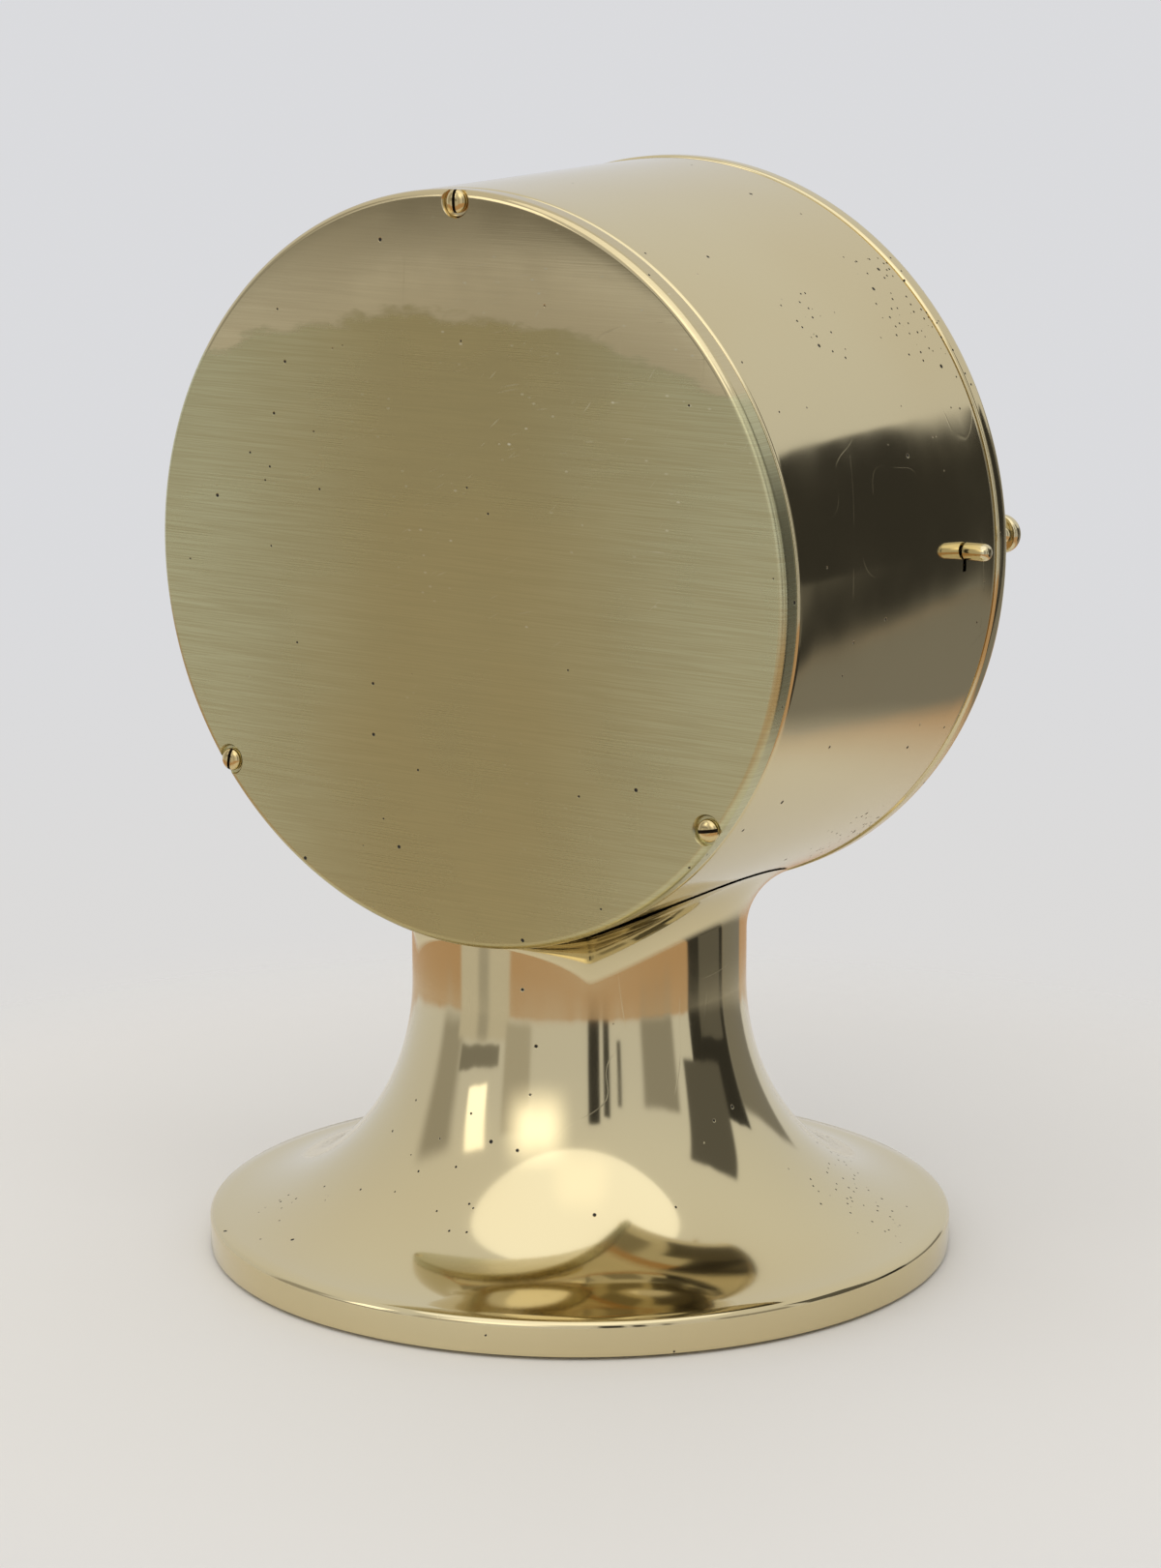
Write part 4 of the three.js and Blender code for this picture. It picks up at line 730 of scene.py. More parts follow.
def seat_at(radius: float, degrees: float, y: float = 0.0) -> Point3:
    """A place on a circle round the drum's axis.

    Args:
        radius: the circle's radius.
        degrees: the angle from 12 o'clock towards +X.
        y: the circle's place along the axis.

    Returns:
        The place.
    """
    x, z = raised(on_clock(radius, degrees))
    return x, y, z


def arc(centre: Point, radius: float, start: float, end: float, steps: int) -> list[Point]:
    """Points along an arc.

    Args:
        centre: the arc's centre.
        radius: its radius.
        start: the first angle in degrees.
        end: the last angle in degrees.
        steps: the number of chords.

    Returns:
        The points, ends included.
    """
    return [polar(radius, start + (end - start) * i / steps, centre) for i in range(steps + 1)]


def quarter(steps: int, first: int = 0) -> list[float]:
    """The angles of a quarter turn in even steps, from the first that is wanted, in radians."""
    return [i * math.pi / 2 / steps for i in range(first, steps + 1)]


def dome(radius: float, power: float, steps: int, first: int = 0) -> list[Point]:
    """A turned end from its rim to its middle.

    Args:
        radius: the radius at the rim.
        power: how square the end is: 1 gives an ellipse, and less gives a fuller end.
        steps: the number of chords from rim to middle.
        first: the first point that is given.

    Returns:
        Each point's radius and its share of the height.
    """
    angles = quarter(steps, first)[:-1]
    return [(radius * math.cos(angle) ** power, math.sin(angle)) for angle in angles] + [(0.0, 1.0)]


def span(first: Point, last: Point, steps: int) -> list[Point]:
    """Evenly spaced points on a line, ends included."""
    return [(first[0] + (last[0] - first[0]) * i / steps, first[1] + (last[1] - first[1]) * i / steps)
            for i in range(steps + 1)]


def linked(name: str, data: bpy.types.ID) -> Piece:
    """Makes an object of a mesh, a curve, a lamp or a camera, and links it to the scene."""
    obj = bpy.data.objects.new(name, data)
    bpy.context.scene.collection.objects.link(obj)
    return obj


def mesh_object(name: str, vertices: Iterable[Sequence[float]], faces: Iterable[Sequence[int]],
                edges: Iterable[Sequence[int]] = ()) -> Piece:
    """Makes an object from points in millimetres.

    Args:
        name: the object's name.
        vertices: its points.
        faces: its faces.
        edges: its loose edges.

    Returns:
        The object, linked to the scene.
    """
    mesh = bpy.data.meshes.new(name)
    mesh.from_pydata([tuple(c * MM for c in v) for v in vertices], list(edges), list(faces))
    mesh.update()
    return linked(name, mesh)


def move(mesh: bpy.types.Mesh, at: Point3, turn: Matrix) -> None:
    """Turns a mesh and then moves it.

    Args:
        mesh: the mesh.
        at: where its origin goes, in millimetres.
        turn: the turn about its origin.
    """
    mesh.transform(Matrix.Translation(Vector(at) * MM) @ turn)


def close_up(mesh: bpy.types.Mesh) -> None:
    """Merges doubles and points every face outwards.

    Args:
        mesh: the mesh to mend.
    """
    shape = bmesh.new()
    shape.from_mesh(mesh)
    bmesh.ops.remove_doubles(shape, verts=shape.verts, dist=WELD)
    bmesh.ops.recalc_face_normals(shape, faces=shape.faces)
    if shape.calc_volume(signed=True) < 0:
        bmesh.ops.reverse_faces(shape, faces=shape.faces)
    shape.to_mesh(mesh)
    shape.free()
    mesh.update()


def smooth(mesh: bpy.types.Mesh) -> None:
    """Shades a mesh smooth, with its corners kept sharp.

    Args:
        mesh: the mesh.
    """
    mesh.shade_smooth()
    mesh.set_sharp_from_angle(angle=SHARP_ANGLE)


def baked(obj: Piece) -> Piece:
    """Turns an object with modifiers into a plain mesh at the origin.

    Args:
        obj: the object.

    Returns:
        The same object with its result as its mesh.
    """
    graph = bpy.context.evaluated_depsgraph_get()
    mesh = bpy.data.meshes.new_from_object(obj.evaluated_get(graph))
    mesh.transform(obj.matrix_world)
    obj.modifiers.clear()
    obj.data = mesh
    obj.matrix_world = Matrix.Identity(4)
    return obj


def merged(name: str, pieces: Sequence[Piece]) -> Piece:
    """Puts pieces into one object as they are, and removes them.

    Args:
        name: the new object's name.
        pieces: the pieces.

    Returns:
        The new object.
    """
    shape = bmesh.new()
    for piece in pieces:
        shape.from_mesh(piece.data)
        bpy.data.objects.remove(piece)
    mesh = bpy.data.meshes.new(name)
    shape.to_mesh(mesh)
    shape.free()
    return linked(name, mesh)


def combine(target: Piece, tools: Sequence[Piece], operation: str) -> None:
    """Joins tools to a piece or cuts them from it, and removes them.

    Args:
        target: the piece.
        tools: the shapes, clear of each other.
        operation: UNION or DIFFERENCE.
    """
    tool = merged("tools", tools)
    modifier = target.modifiers.new("shape", "BOOLEAN")
    modifier.operation = operation
    modifier.solver = "EXACT"
    modifier.object = tool
    baked(target)
    bpy.data.objects.remove(tool)


def bevel(obj: Piece, width: float, segments: int) -> None:
    """Rounds a piece's sharp edges.

    Args:
        obj: the piece.
        width: the bevel's width in millimetres.
        segments: its steps.
    """
    modifier = obj.modifiers.new("edges", "BEVEL")
    modifier.width = width * MM
    modifier.segments = segments
    modifier.limit_method = "ANGLE"
    modifier.angle_limit = SHARP_ANGLE
    baked(obj)


def block(x0: float, x1: float, y0: float, y1: float, z0: float, z1: float) -> Piece:
    """A box between two corners, in millimetres."""
    corners = [(x, y, z) for x in (x0, x1) for y in (y0, y1) for z in (z0, z1)]
    faces = [(0, 1, 3, 2), (4, 6, 7, 5), (0, 4, 5, 1), (2, 3, 7, 6), (0, 2, 6, 4), (1, 5, 7, 3)]
    return mesh_object("block", corners, faces)


def turn_to(axis: Axis) -> Matrix:
    """The turn that takes a piece made along Y to another axis."""
    return {Axis.Y: Matrix.Identity(4), Axis.Z: Matrix.Rotation(math.pi / 2, 4, "X"),
            Axis.X: Matrix.Rotation(-math.pi / 2, 4, "Z")}[axis]


class PieceTree(Graph):
    """A geometry tree that makes a piece and ends in real geometry with a finish."""

    def __init__(self, name: str, kinds: dict[str, str]) -> None:
        """Starts the tree with the inputs Source and Finish and others.

        Args:
            name: the tree's name.
            kinds: the socket type of each further input, by its name.
        """
        super().__init__(bpy.data.node_groups.new(name, "GeometryNodeTree"))
        face = self.tree.interface
        face.new_socket("Source", in_out="INPUT", socket_type="NodeSocketGeometry")
        self.ids = {key: face.new_socket(key, in_out="INPUT", socket_type=f"NodeSocket{kind}").identifier
                    for key, kind in {**kinds, "Finish": "Material"}.items()}
        face.new_socket("Piece", in_out="OUTPUT", socket_type="NodeSocketGeometry")
        self.entry = self.add("NodeGroupInput").outputs

    def end(self, geometry: Socket) -> None:
        """Ends the tree.

        Args:
            geometry: the socket of what it made.
        """
        real = self.add("GeometryNodeRealizeInstances", {"Geometry": geometry}).outputs[0]
        dressed = self.add("GeometryNodeSetMaterial", {"Geometry": real, "Material": self.entry["Finish"]})
        self.add("NodeGroupOutput", {"Piece": dressed.outputs[0]})

    def run(self, obj: Piece, values: dict) -> Piece:
        """Runs the tree on an object and keeps what it makes.

        Args:
            obj: the object, whose mesh is the source.
            values: the tree's inputs by name.

        Returns:
            The same object.
        """
        modifier = obj.modifiers.new(self.tree.name, "NODES")
        modifier.node_group = self.tree
        for key, value in values.items():
            modifier[self.ids[key]] = value
        return baked(obj)


class Lathe(PieceTree):
    """A tree that turns a profile about the Y axis."""

    def __init__(self, stock: bpy.types.Material) -> None:
        """Builds the tree.

        Args:
            stock: the material that a piece has until it gets its own.
        """
        super().__init__("turned piece", {"Sides": "Int"})
        self.stock = stock
        g, entry = self, self.entry
        size = g.add("GeometryNodeAttributeDomainSize", {"Geometry": entry["Source"]})
        count = size.outputs["Point Count"]
        rings = g.math("ADD", entry["Sides"], 1)
        grid = g.add("GeometryNodeMeshGrid", {"Size X": 1.0, "Size Y": 1.0, "Vertices X": count,
                                              "Vertices Y": rings}).outputs["Mesh"]
        where = g.add("ShaderNodeSeparateXYZ", {0: g.add("GeometryNodeInputPosition").outputs[0]})
        row = g.math("MULTIPLY", g.math("ADD", where.outputs[0], 0.5), g.math("SUBTRACT", count, 1))
        sample = g.add("GeometryNodeSampleIndex", {"Geometry": entry["Source"]}, data_type="FLOAT_VECTOR",
                       domain="POINT")
        g.put(sample.inputs["Value"], g.add("GeometryNodeInputPosition").outputs[0])
        g.put(sample.inputs["Index"], g.math("ROUND", row))
        profile = g.add("ShaderNodeSeparateXYZ", {0: sample.outputs[0]}).outputs
        angle = g.math("MULTIPLY", g.math("ADD", where.outputs[1], 0.5), 2 * math.pi)
        placed = g.add("ShaderNodeCombineXYZ", {
            0: g.math("MULTIPLY", profile[0], g.math("COSINE", angle)),
            1: profile[1],
            2: g.math("MULTIPLY", profile[0], g.math("SINE", angle)),
        }).outputs[0]
        turned = g.add("GeometryNodeSetPosition", {"Geometry": grid, "Position": placed}).outputs[0]
        g.end(g.add("GeometryNodeMergeByDistance", {"Geometry": turned, "Distance": WELD}).outputs[0])

    def turn(self, name: str, profile: Sequence[Point], sides: int = FINE_SIDES, axis: Axis = Axis.Y,
             at: Point3 = (0.0, 0.0, AXIS_HEIGHT)) -> Piece:
        """Turns a profile of radius and height into a closed piece.

        Args:
            name: the piece's name.
            profile: its points, in millimetres; it is closed by its first point.
            sides: the number of sides.
            axis: the way that the height runs.
            at: where the profile's origin goes.

        Returns:
            The piece.
        """
        points = [(max(r, 0.0), y, 0.0) for r, y in [*profile, profile[0]]]
        edges = [(i, i + 1) for i in range(len(points) - 1)]
        obj = self.run(mesh_object(name, points, [], edges), {"Sides": sides, "Finish": self.stock})
        close_up(obj.data)
        move(obj.data, at, turn_to(axis))
        return obj

    def rod(self, radius: float, low: float, high: float, axis: Axis, at: Point3,
            sides: int = 24) -> Piece:
        """A plain cylinder between two heights on an axis."""
        return self.turn("rod", [(0, low), (radius, low), (radius, high), (0, high)], sides, axis, at)


class Workshop:
    """Finishes pieces: material, shading, slot, body and the nodes that they stand for."""

    def __init__(self) -> None:
        """Builds the shared finishes and trees."""
        self.finishes = Finishes()
        self.lathe = Lathe(self.finishes[Slot.POLISHED])
        self.seating = ScrewTree()
        self.ticks = TickTree()

    def deliver(self, obj: Piece, slot: Slot, body: Body, *nodes: str,
                material: bpy.types.Material | None = None) -> None:
        """Gives a piece its finish and its body.

        Args:
            obj: the piece.
            slot: its finish in the record.
            body: the body that it rides on.
            nodes: the solids that it stands for.
            material: a material other than the slot's own.
        """
        obj.data.materials.clear()
        obj.data.materials.append(material or self.finishes[slot])
        obj.data.polygons.foreach_set("material_index", [0] * len(obj.data.polygons))
        # Faces marked as inside a screw's slot get a second material, which is painted shade.
        marks = obj.data.attributes.get(SLOT_SHADE_FACES)
        if marks:
            obj.data.materials.append(self.finishes.grime)
            obj.data.polygons.foreach_set("material_index", [int(mark.value) for mark in marks.data])
        smooth(obj.data)
        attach(obj, body.value)
        if nodes:
            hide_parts(*nodes)
        LOG.info("%s: %d faces on %s", obj.name, len(obj.data.polygons), body.value)

    def dress(self, slot: Slot, *nodes: str) -> None:
        """Gives solids that stay their material.

        Args:
            slot: their finish.
            nodes: the solids' names.
        """
        for node in nodes:
            mesh = frame["nodes"][node].data
            mesh.materials.clear()
            mesh.materials.append(self.finishes[slot])


@dataclass
class Assembly:
    """A sub-assembly, whose pieces are made in the shared workshop."""

    shop: Workshop

    def build(self) -> None:
        """Builds the pieces."""
        raise NotImplementedError


@dataclass
class Drum(Assembly):
    """The cast drum with its flange, lugs, bolt pad and latch slot."""

    radius: float = 100.0
    draft: float = math.radians(1)
    wall: float = 4.5
    rear_y: float = 48.7
    front_y: float = -49.1
    edge: float = 0.9
    flange_width: float = 9.0
    flange_depth: float = 6.0
    lug_half: float = 6.0
    lug_inner: float = 77.0
    lug_front: float = -37.9
    lug_rear: float = -30.9
    pad_half: float = 12.0
    pad_reach: float = 34.0
    pad_depth: float = 7.5
    pivot_at: Point3 = (0.0, 0.0, AXIS_HEIGHT + 1.7)
    boss_radius: float = 4.0
    boss_end: float = -94.3
    post_at: Point3 = (0.0, 11.0, AXIS_HEIGHT - 3.4)
    post_radius: float = 1.2
    post_end: float = -88.0
    cover_hole_depth: float = 5.5
    bolt_hole_ends: Point = (92.0, 105.6)
    slot_x: Point = (-104.0, -92.5)
    slot_y: Point = (-33.2, -31.5)
    slot_z: Point = (AXIS_HEIGHT - 1.8, AXIS_HEIGHT + 5.2)
    pivot_hole: float = 2.15
    pivot_hole_ends: Point = (-98.25, -93.3)
    hinge_hole_ends: Point = (97.25, 104.0)

    def radius_at(self, y: float) -> float:
        """The outer radius at a place along the axis."""
        return self.radius + math.tan(self.draft) * (self.rear_y - y)

    def shell_profile(self) -> list[Point]:
        """The closed profile of the shell."""
        e = self.edge
        flange = self.radius - self.flange_width
        front = self.radius_at(self.front_y)
        rear_arc = arc((self.radius - e, self.rear_y - e), e, 90, 0, 6)
        front_arc = arc((front - e, self.front_y + e), e, 0, -90, 6)
        return [
            (flange, self.rear_y), (flange + 1, self.rear_y), *rear_arc,
            *span((self.radius_at(self.rear_y - e - 0.8), self.rear_y - e - 0.8),
                  (self.radius_at(self.front_y + e + 0.8), self.front_y + e + 0.8), 14),
            *front_arc, (front - self.wall + 0.4, self.front_y), (front - self.wall, self.front_y + 0.4),
            (self.radius - self.wall, self.rear_y - self.flange_depth),
            (flange, self.rear_y - self.flange_depth),
        ]

    def build(self) -> None:
        """Builds the drum case."""
        lathe = self.shop.lathe
        case = lathe.turn("drum_shell", self.shell_profile())
        combine(case, self.inner_bosses(), "UNION")
        combine(case, self.holes(), "DIFFERENCE")
        self.shop.deliver(case, Slot.POLISHED, Body.CASE, "drum_case")

    def inner_bosses(self) -> list[Piece]:
        """Lugs for the dial, the bolt pad, the latch's boss and its spring post."""
        middle = self.radius - self.wall / 2
        lugs = []
        for angle in DIAL_SCREW_ANGLES:
            lug = block(-self.lug_half, self.lug_half, self.lug_front, self.lug_rear, self.lug_inner, middle)
            lug.data.transform(Matrix.Rotation(math.radians(angle), 4, "Y"))
            lugs.append(lug)
        pad = block(-self.pad_half, self.pad_half, -self.pad_reach, self.pad_reach, -middle,
                    -self.radius + self.wall + self.pad_depth)
        for piece in [*lugs, pad]:
            piece.data.transform(Matrix.Translation((0, 0, AXIS_HEIGHT * MM)))
        boss = self.shop.lathe.rod(self.boss_radius, -middle, self.boss_end, Axis.X, self.pivot_at)
        post = self.shop.lathe.rod(self.post_radius, -middle, self.post_end, Axis.X, self.post_at)
        return [*lugs, pad, boss, post]

    def holes(self) -> list[Piece]:
        """The screw holes, the bolt holes and the slot for the latch's pin."""
        rod = self.shop.lathe.rod
        cover_ends = (self.rear_y - self.cover_hole_depth, self.rear_y + 1)
        dial_ends = (self.lug_front - 1, self.lug_rear - 1)
        return [
            *(rod(SCREW_HOLE, *cover_ends, Axis.Y, seat_at(COVER_SCREW_CIRCLE, angle))
              for angle in COVER_SCREWS.values()),
            *(rod(SMALL_SCREW_HOLE, *dial_ends, Axis.Y, seat_at(DIAL_SCREW_CIRCLE, angle))
              for angle in DIAL_SCREW_ANGLES),
            *(rod(BOLT_HOLE, *self.bolt_hole_ends, Axis.Z, (0, y, 0)) for y in BOLT_PLACES),
            block(*self.slot_x, *self.slot_y, *self.slot_z),
            rod(self.pivot_hole, *self.pivot_hole_ends, Axis.X, self.pivot_at),
            *(rod(SMALL_SCREW_HOLE, *self.hinge_hole_ends, Axis.X, (0, HINGE_SCREW_Y, AXIS_HEIGHT + rise))
              for rise in HINGE_SCREW_RISES),
        ]


@dataclass
class Pedestal(Assembly):
    """The trumpet pedestal, whose neck sweeps up into the drum, and its felt."""

    drum: Drum
    base_radius: float = 103.25
    edge_top: float = 10.4
    edge: float = 2.0
    lift: float = 0.6
    neck: float = 46.2
    neck_bottom: float = 75.5
    wall: float = 5.0
    crown: float = 84.0
    fillet_most: float = 18.0
    seam: float = 0.3
    plate_radius: float = 98.0
    plate_screw_circle: float = 93.5
    ledge_z: float = 3.7
    ledge_width: float = 10.0
    bore_round: float = 2.0
    flare_steps: int = 40
    inner_steps: int = 22
    sides: int = 240
    felt_radius: float = 98.0
    felt: float = 1.5
    felt_edge: float = 0.6
    felt_ring: float = 90.0
    bolt_hole_ends: Point = (82.0, 110.0)
    screw_hole_ends: Point = (2.7, 7.2)
    screw_angles: tuple[int, ...] = (90, 210, 330)
    steel: tuple[str, ...] = (
        "base_plate", "base_plate_screw_1", "base_plate_screw_2", "base_plate_screw_3",
        "pedestal_bolt_front", "pedestal_bolt_rear",
    )

    def saddle(self, r: float, azimuth: float) -> float:
        """The height of the drum's underside, less the seam, above a point."""
        radius = self.drum.radius_at(r * math.sin(azimuth)) + self.seam
        return AXIS_HEIGHT - math.sqrt(radius ** 2 - (r * math.cos(azimuth)) ** 2)

    def fillet(self, azimuth: float) -> tuple[float, Point, float, float]:
        """The fillet between the neck and the drum.

        Args:
            azimuth: the angle about the pedestal's axis, in radians.

        Returns:
            Its radius, its centre, the drum's slope where it ends, and how far out it ends.
        """
        limit = (self.drum.rear_y - self.drum.edge - 0.4) / max(abs(math.sin(azimuth)), 1e-6)
        reach, radius, slope = self.neck + self.fillet_most, self.fillet_most, 0.0
        step = 0.01
        for _ in range(14):
            rise = self.saddle(reach + step, azimuth) - self.saddle(reach - step, azimuth)
            slope = math.atan(rise / (2 * step))
            radius = min(self.fillet_most, (limit - self.neck) / (1 - math.sin(slope)))
            reach = self.neck + radius * (1 - math.sin(slope))
        centre = (self.neck + radius, self.saddle(reach, azimuth) - radius * math.cos(slope))
        return radius, centre, slope, reach

    def trumpet(self, share: float, inset: float = 0.0) -> Point:
        """A point on the flare, from the neck at 0 to the rim at 1."""
        flare = self.base_radius - self.neck + inset
        drop = self.neck_bottom - self.edge_top + inset
        angle = share * math.pi / 2
        return self.base_radius - flare * math.cos(angle), self.neck_bottom - drop * math.sin(angle)

    def profile(self, azimuth: float) -> list[Point]:
        """The closed profile at an azimuth, by radius and height."""
        radius, centre, slope, reach = self.fillet(azimuth)
        rim = (self.base_radius - self.edge, self.edge_top - self.edge)
        points = [(self.base_radius - 0.8, self.lift), (self.base_radius - 0.2, self.lift + 0.2),
                  (self.base_radius, self.lift + 0.8), (self.base_radius, rim[1] - 0.6)]
        points += arc(rim, self.edge, 0, 62, 7)
        points += [self.trumpet(i / self.flare_steps) for i in range(self.flare_steps - 2, -1, -1)]
        points.append((self.neck, self.neck_bottom + (centre[1] - self.neck_bottom) * 0.5))
        points += arc(centre, radius, 180, 90 + math.degrees(slope), 16)
        points.append((reach - 0.4, self.saddle(reach - 0.4, azimuth)))
        points += [(reach * k, self.saddle(reach * k, azimuth)) for k in (0.8, 0.6, 0.4, 0.2)]
        bore = self.neck - self.wall - self.bore_round
        points += [(0.0, self.saddle(0.0, azimuth)), (0.0, self.crown), (bore, self.crown)]
        points += arc((bore, self.crown - self.bore_round), self.bore_round, 60, 0, 2)
        points += [self.trumpet(i / self.inner_steps, self.wall) for i in range(self.inner_steps - 5)]
        inner = self.plate_radius - self.ledge_width
        rebate = self.plate_radius + self.seam
        points += [(inner, self.ledge_z), (rebate, self.ledge_z), (rebate, self.lift)]
        return points

    def body(self) -> Piece:
        """Sweeps the profile round the axis."""
        rings = []
        for i in range(self.sides):
            azimuth = 2 * math.pi * (i + 0.5) / self.sides
            rings.append([(r * math.cos(azimuth), r * math.sin(azimuth), z)
                          for r, z in self.profile(azimuth)])
        count = len(rings[0])
        faces = []
        for i in range(self.sides):
            j = (i + 1) % self.sides
            for k in range(count):
                m = (k + 1) % count
                faces.append((i * count + k, i * count + m, j * count + m, j * count + k))
        obj = mesh_object("trumpet_pedestal", [p for ring in rings for p in ring], faces)
        close_up(obj.data)
        return obj

    def build(self) -> None:
        """Builds the pedestal and the felt under it."""
        lathe = self.shop.lathe
        body = self.body()
        cutters = [lathe.rod(BOLT_HOLE, *self.bolt_hole_ends, Axis.Z, (0, y, 0)) for y in BOLT_PLACES]
        for angle in self.screw_angles:
            at = (*polar(self.plate_screw_circle, angle), 0)
            cutters.append(lathe.rod(SCREW_HOLE, *self.screw_hole_ends, Axis.Z, at))
        combine(body, cutters, "DIFFERENCE")
        self.shop.deliver(body, Slot.POLISHED, Body.CASE, "pedestal")
        edge, thick, ring = self.felt_edge, self.felt, self.felt_ring
        reach = self.felt_radius - edge
        felt = lathe.turn("felt_pad", [
            (0, 0), *span((ring, 0), (reach, 0), 2), *arc((reach, edge), edge, -90, 0, 4),
            *arc((reach, thick - edge), edge, 0, 90, 4), (ring, thick), (0, thick),
        ], PLAIN_SIDES, Axis.Z, (0, 0, 0))
        self.shop.deliver(felt, Slot.FELT, Body.CASE, "base_felt")
        self.shop.dress(Slot.STEEL, *self.steel)


@dataclass
class RearCover(Assembly):
    """The brushed rear cover with its rounded edge and spot faces."""

    radius: float = 100.0
    front_y: float = 49.0
    face_y: float = 56.0
    edge: float = 2.0
    front_edge: float = 0.9
    plate: float = 3.0
    rim: float = 9.0
    crown: float = 0.35
    crown_from: float = 60.0
    crown_power: float = 2.4
    crown_steps: int = 12
    spot_radius: float = 3.85
    spot_y: float = 54.3
    slot_turns: tuple[int, ...] = (90, 80, 10)

    def profile(self) -> list[Point]:
        """The closed profile, from the middle of the inside to the middle of the face."""
        corner = self.radius - self.edge
        face = self.face_y - self.crown
        crowned = []
        for i in range(self.crown_steps + 1):
            r = self.crown_from + (corner - self.crown_from) * i / self.crown_steps
            share = (r - self.crown_from) / (corner - self.crown_from)
            crowned.append((r, self.face_y - self.crown * share ** self.crown_power))
        return [
            (0, self.face_y - self.plate), (self.radius - self.rim, self.face_y - self.plate),
            (self.radius - self.rim, self.front_y),
            (self.radius - self.front_edge - 0.3, self.front_y),
            *arc((self.radius - self.front_edge, self.front_y + self.front_edge), self.front_edge, -90, 0, 6),
            (self.radius, self.front_y + self.front_edge + 0.4), (self.radius, face - self.edge - 0.4),
            *arc((corner, face - self.edge), self.edge, 0, 86, 10),
            *reversed(crowned), (self.crown_from / 2, self.face_y), (0, self.face_y),
        ]

    def build(self) -> None:
        """Builds the cover and its three screws."""
        lathe = self.shop.lathe
        cover = lathe.turn("rear_cover_disc", self.profile())
        spot = [
            (0, self.front_y - 1), (SCREW_HOLE, self.front_y - 1), (SCREW_HOLE, self.spot_y),
            (self.spot_radius, self.spot_y), (self.spot_radius, self.face_y - 1.0),
            (self.spot_radius + 0.5, self.face_y - 0.3), (self.spot_radius + 0.5, self.face_y + 1),
            (0, self.face_y + 1),
        ]
        cutters = [lathe.turn("spot", spot, 40, Axis.Y, seat_at(COVER_SCREW_CIRCLE, angle))
                   for angle in COVER_SCREWS.values()]
        combine(cover, cutters, "DIFFERENCE")
        self.shop.deliver(cover, Slot.BRUSHED, Body.CASE, "rear_cover")
        screws = ScrewSet(self.shop, shank=1.5, head=3.05, height=2.0, length=10.7)
        seats = [(seat_at(COVER_SCREW_CIRCLE, angle, self.spot_y + SEAT_GAP), turn)
                 for angle, turn in zip(COVER_SCREWS.values(), self.slot_turns)]
        screws.build("rear_cover_screws", seats, Axis.Y, Slot.POLISHED,
                     [f"rear_cover_screw_{side}" for side in COVER_SCREWS])


class ScrewTree(PieceTree):
    """A tree that sets a screw on each point of a mesh."""

    def __init__(self) -> None:
        """Builds the tree."""
        super().__init__("screws on seats", {"Screw": "Object"})
        g, entry = self, self.entry
        screw = g.add("GeometryNodeObjectInfo", {"Object": entry["Screw"]}).outputs["Geometry"]
        turn = g.add("GeometryNodeInputNamedAttribute", {"Name": TURN}, data_type="FLOAT_VECTOR").outputs[0]
        spin = g.add("FunctionNodeEulerToRotation", {0: turn}).outputs[0]
        g.end(g.add("GeometryNodeInstanceOnPoints", {
            "Points": entry["Source"], "Instance": screw, "Rotation": spin,
        }).outputs[0])


@dataclass
class ScrewSet:
    """Slotted round-head screws of one size."""

    shop: Workshop
    shank: float
    head: float
    height: float
    length: float
    slot: float = 0.9
    slot_depth: float = 1.0

    def screw(self) -> Piece:
        """One screw along Y, with its seat at 0 and its slot along X."""
        r, h = self.head, self.height
        profile = [(0, -self.length), (self.shank - 0.3, -self.length), (self.shank, -self.length + 0.4),
                   (self.shank, 0), (r - 0.15, 0), (r, 0.15)]
        profile += [(x, h * (0.32 + 0.68 * rise)) for x, rise in dome(r, 0.8, 10)]
        piece = self.shop.lathe.turn("screw", profile, 40, Axis.Y, (0, 0, 0))
        half, bottom = self.slot / 2, h - self.slot_depth
        combine(piece, [block(-r - 1, r + 1, bottom, h + 1, -half, half)], "DIFFERENCE")
        bevel(piece, 0.06, 1)
        # Marks the faces inside the slot, which get the painted shade.
        marks = piece.data.attributes.new(SLOT_SHADE_FACES, "BOOLEAN", "FACE")
        for mark, face in zip(marks.data, piece.data.polygons):
            across, up = abs(face.center.z) / MM, face.center.y / MM
            mark.value = across < half + 0.01 and up > bottom - 0.05
        return piece

    def build(self, name: str, seats: Sequence[tuple[Point3, float]], axis: Axis, slot: Slot,
              nodes: Sequence[str], flip: bool = False) -> None:
        """Sets the screws in their seats as one piece.

        Args:
            name: the piece's name.
            seats: each seat's place in millimetres and the slot's turn in degrees.
            axis: the way that the heads face.
            slot: the finish.
            nodes: the solids that the piece stands for.
            flip: whether the heads face down the axis.
        """
        screw = self.screw()
        points = mesh_object(name, [at for at, _ in seats], [])
        turns = points.data.attributes.new(TURN, "FLOAT_VECTOR", "POINT")
        facing = turn_to(axis).to_3x3()
        if flip:
            facing = facing @ Matrix.Rotation(math.pi, 3, "X")
        for i, (_, turn) in enumerate(seats):
            euler = (facing @ Matrix.Rotation(math.radians(turn), 3, "Y")).to_euler()
            turns.data[i].vector = tuple(euler)
        material = self.shop.finishes.screw if slot is Slot.POLISHED else self.shop.finishes[slot]
        self.shop.seating.run(points, {"Screw": screw, "Finish": material})
        bpy.data.objects.remove(screw)
        self.shop.deliver(points, slot, Body.CASE, *nodes, material=material)


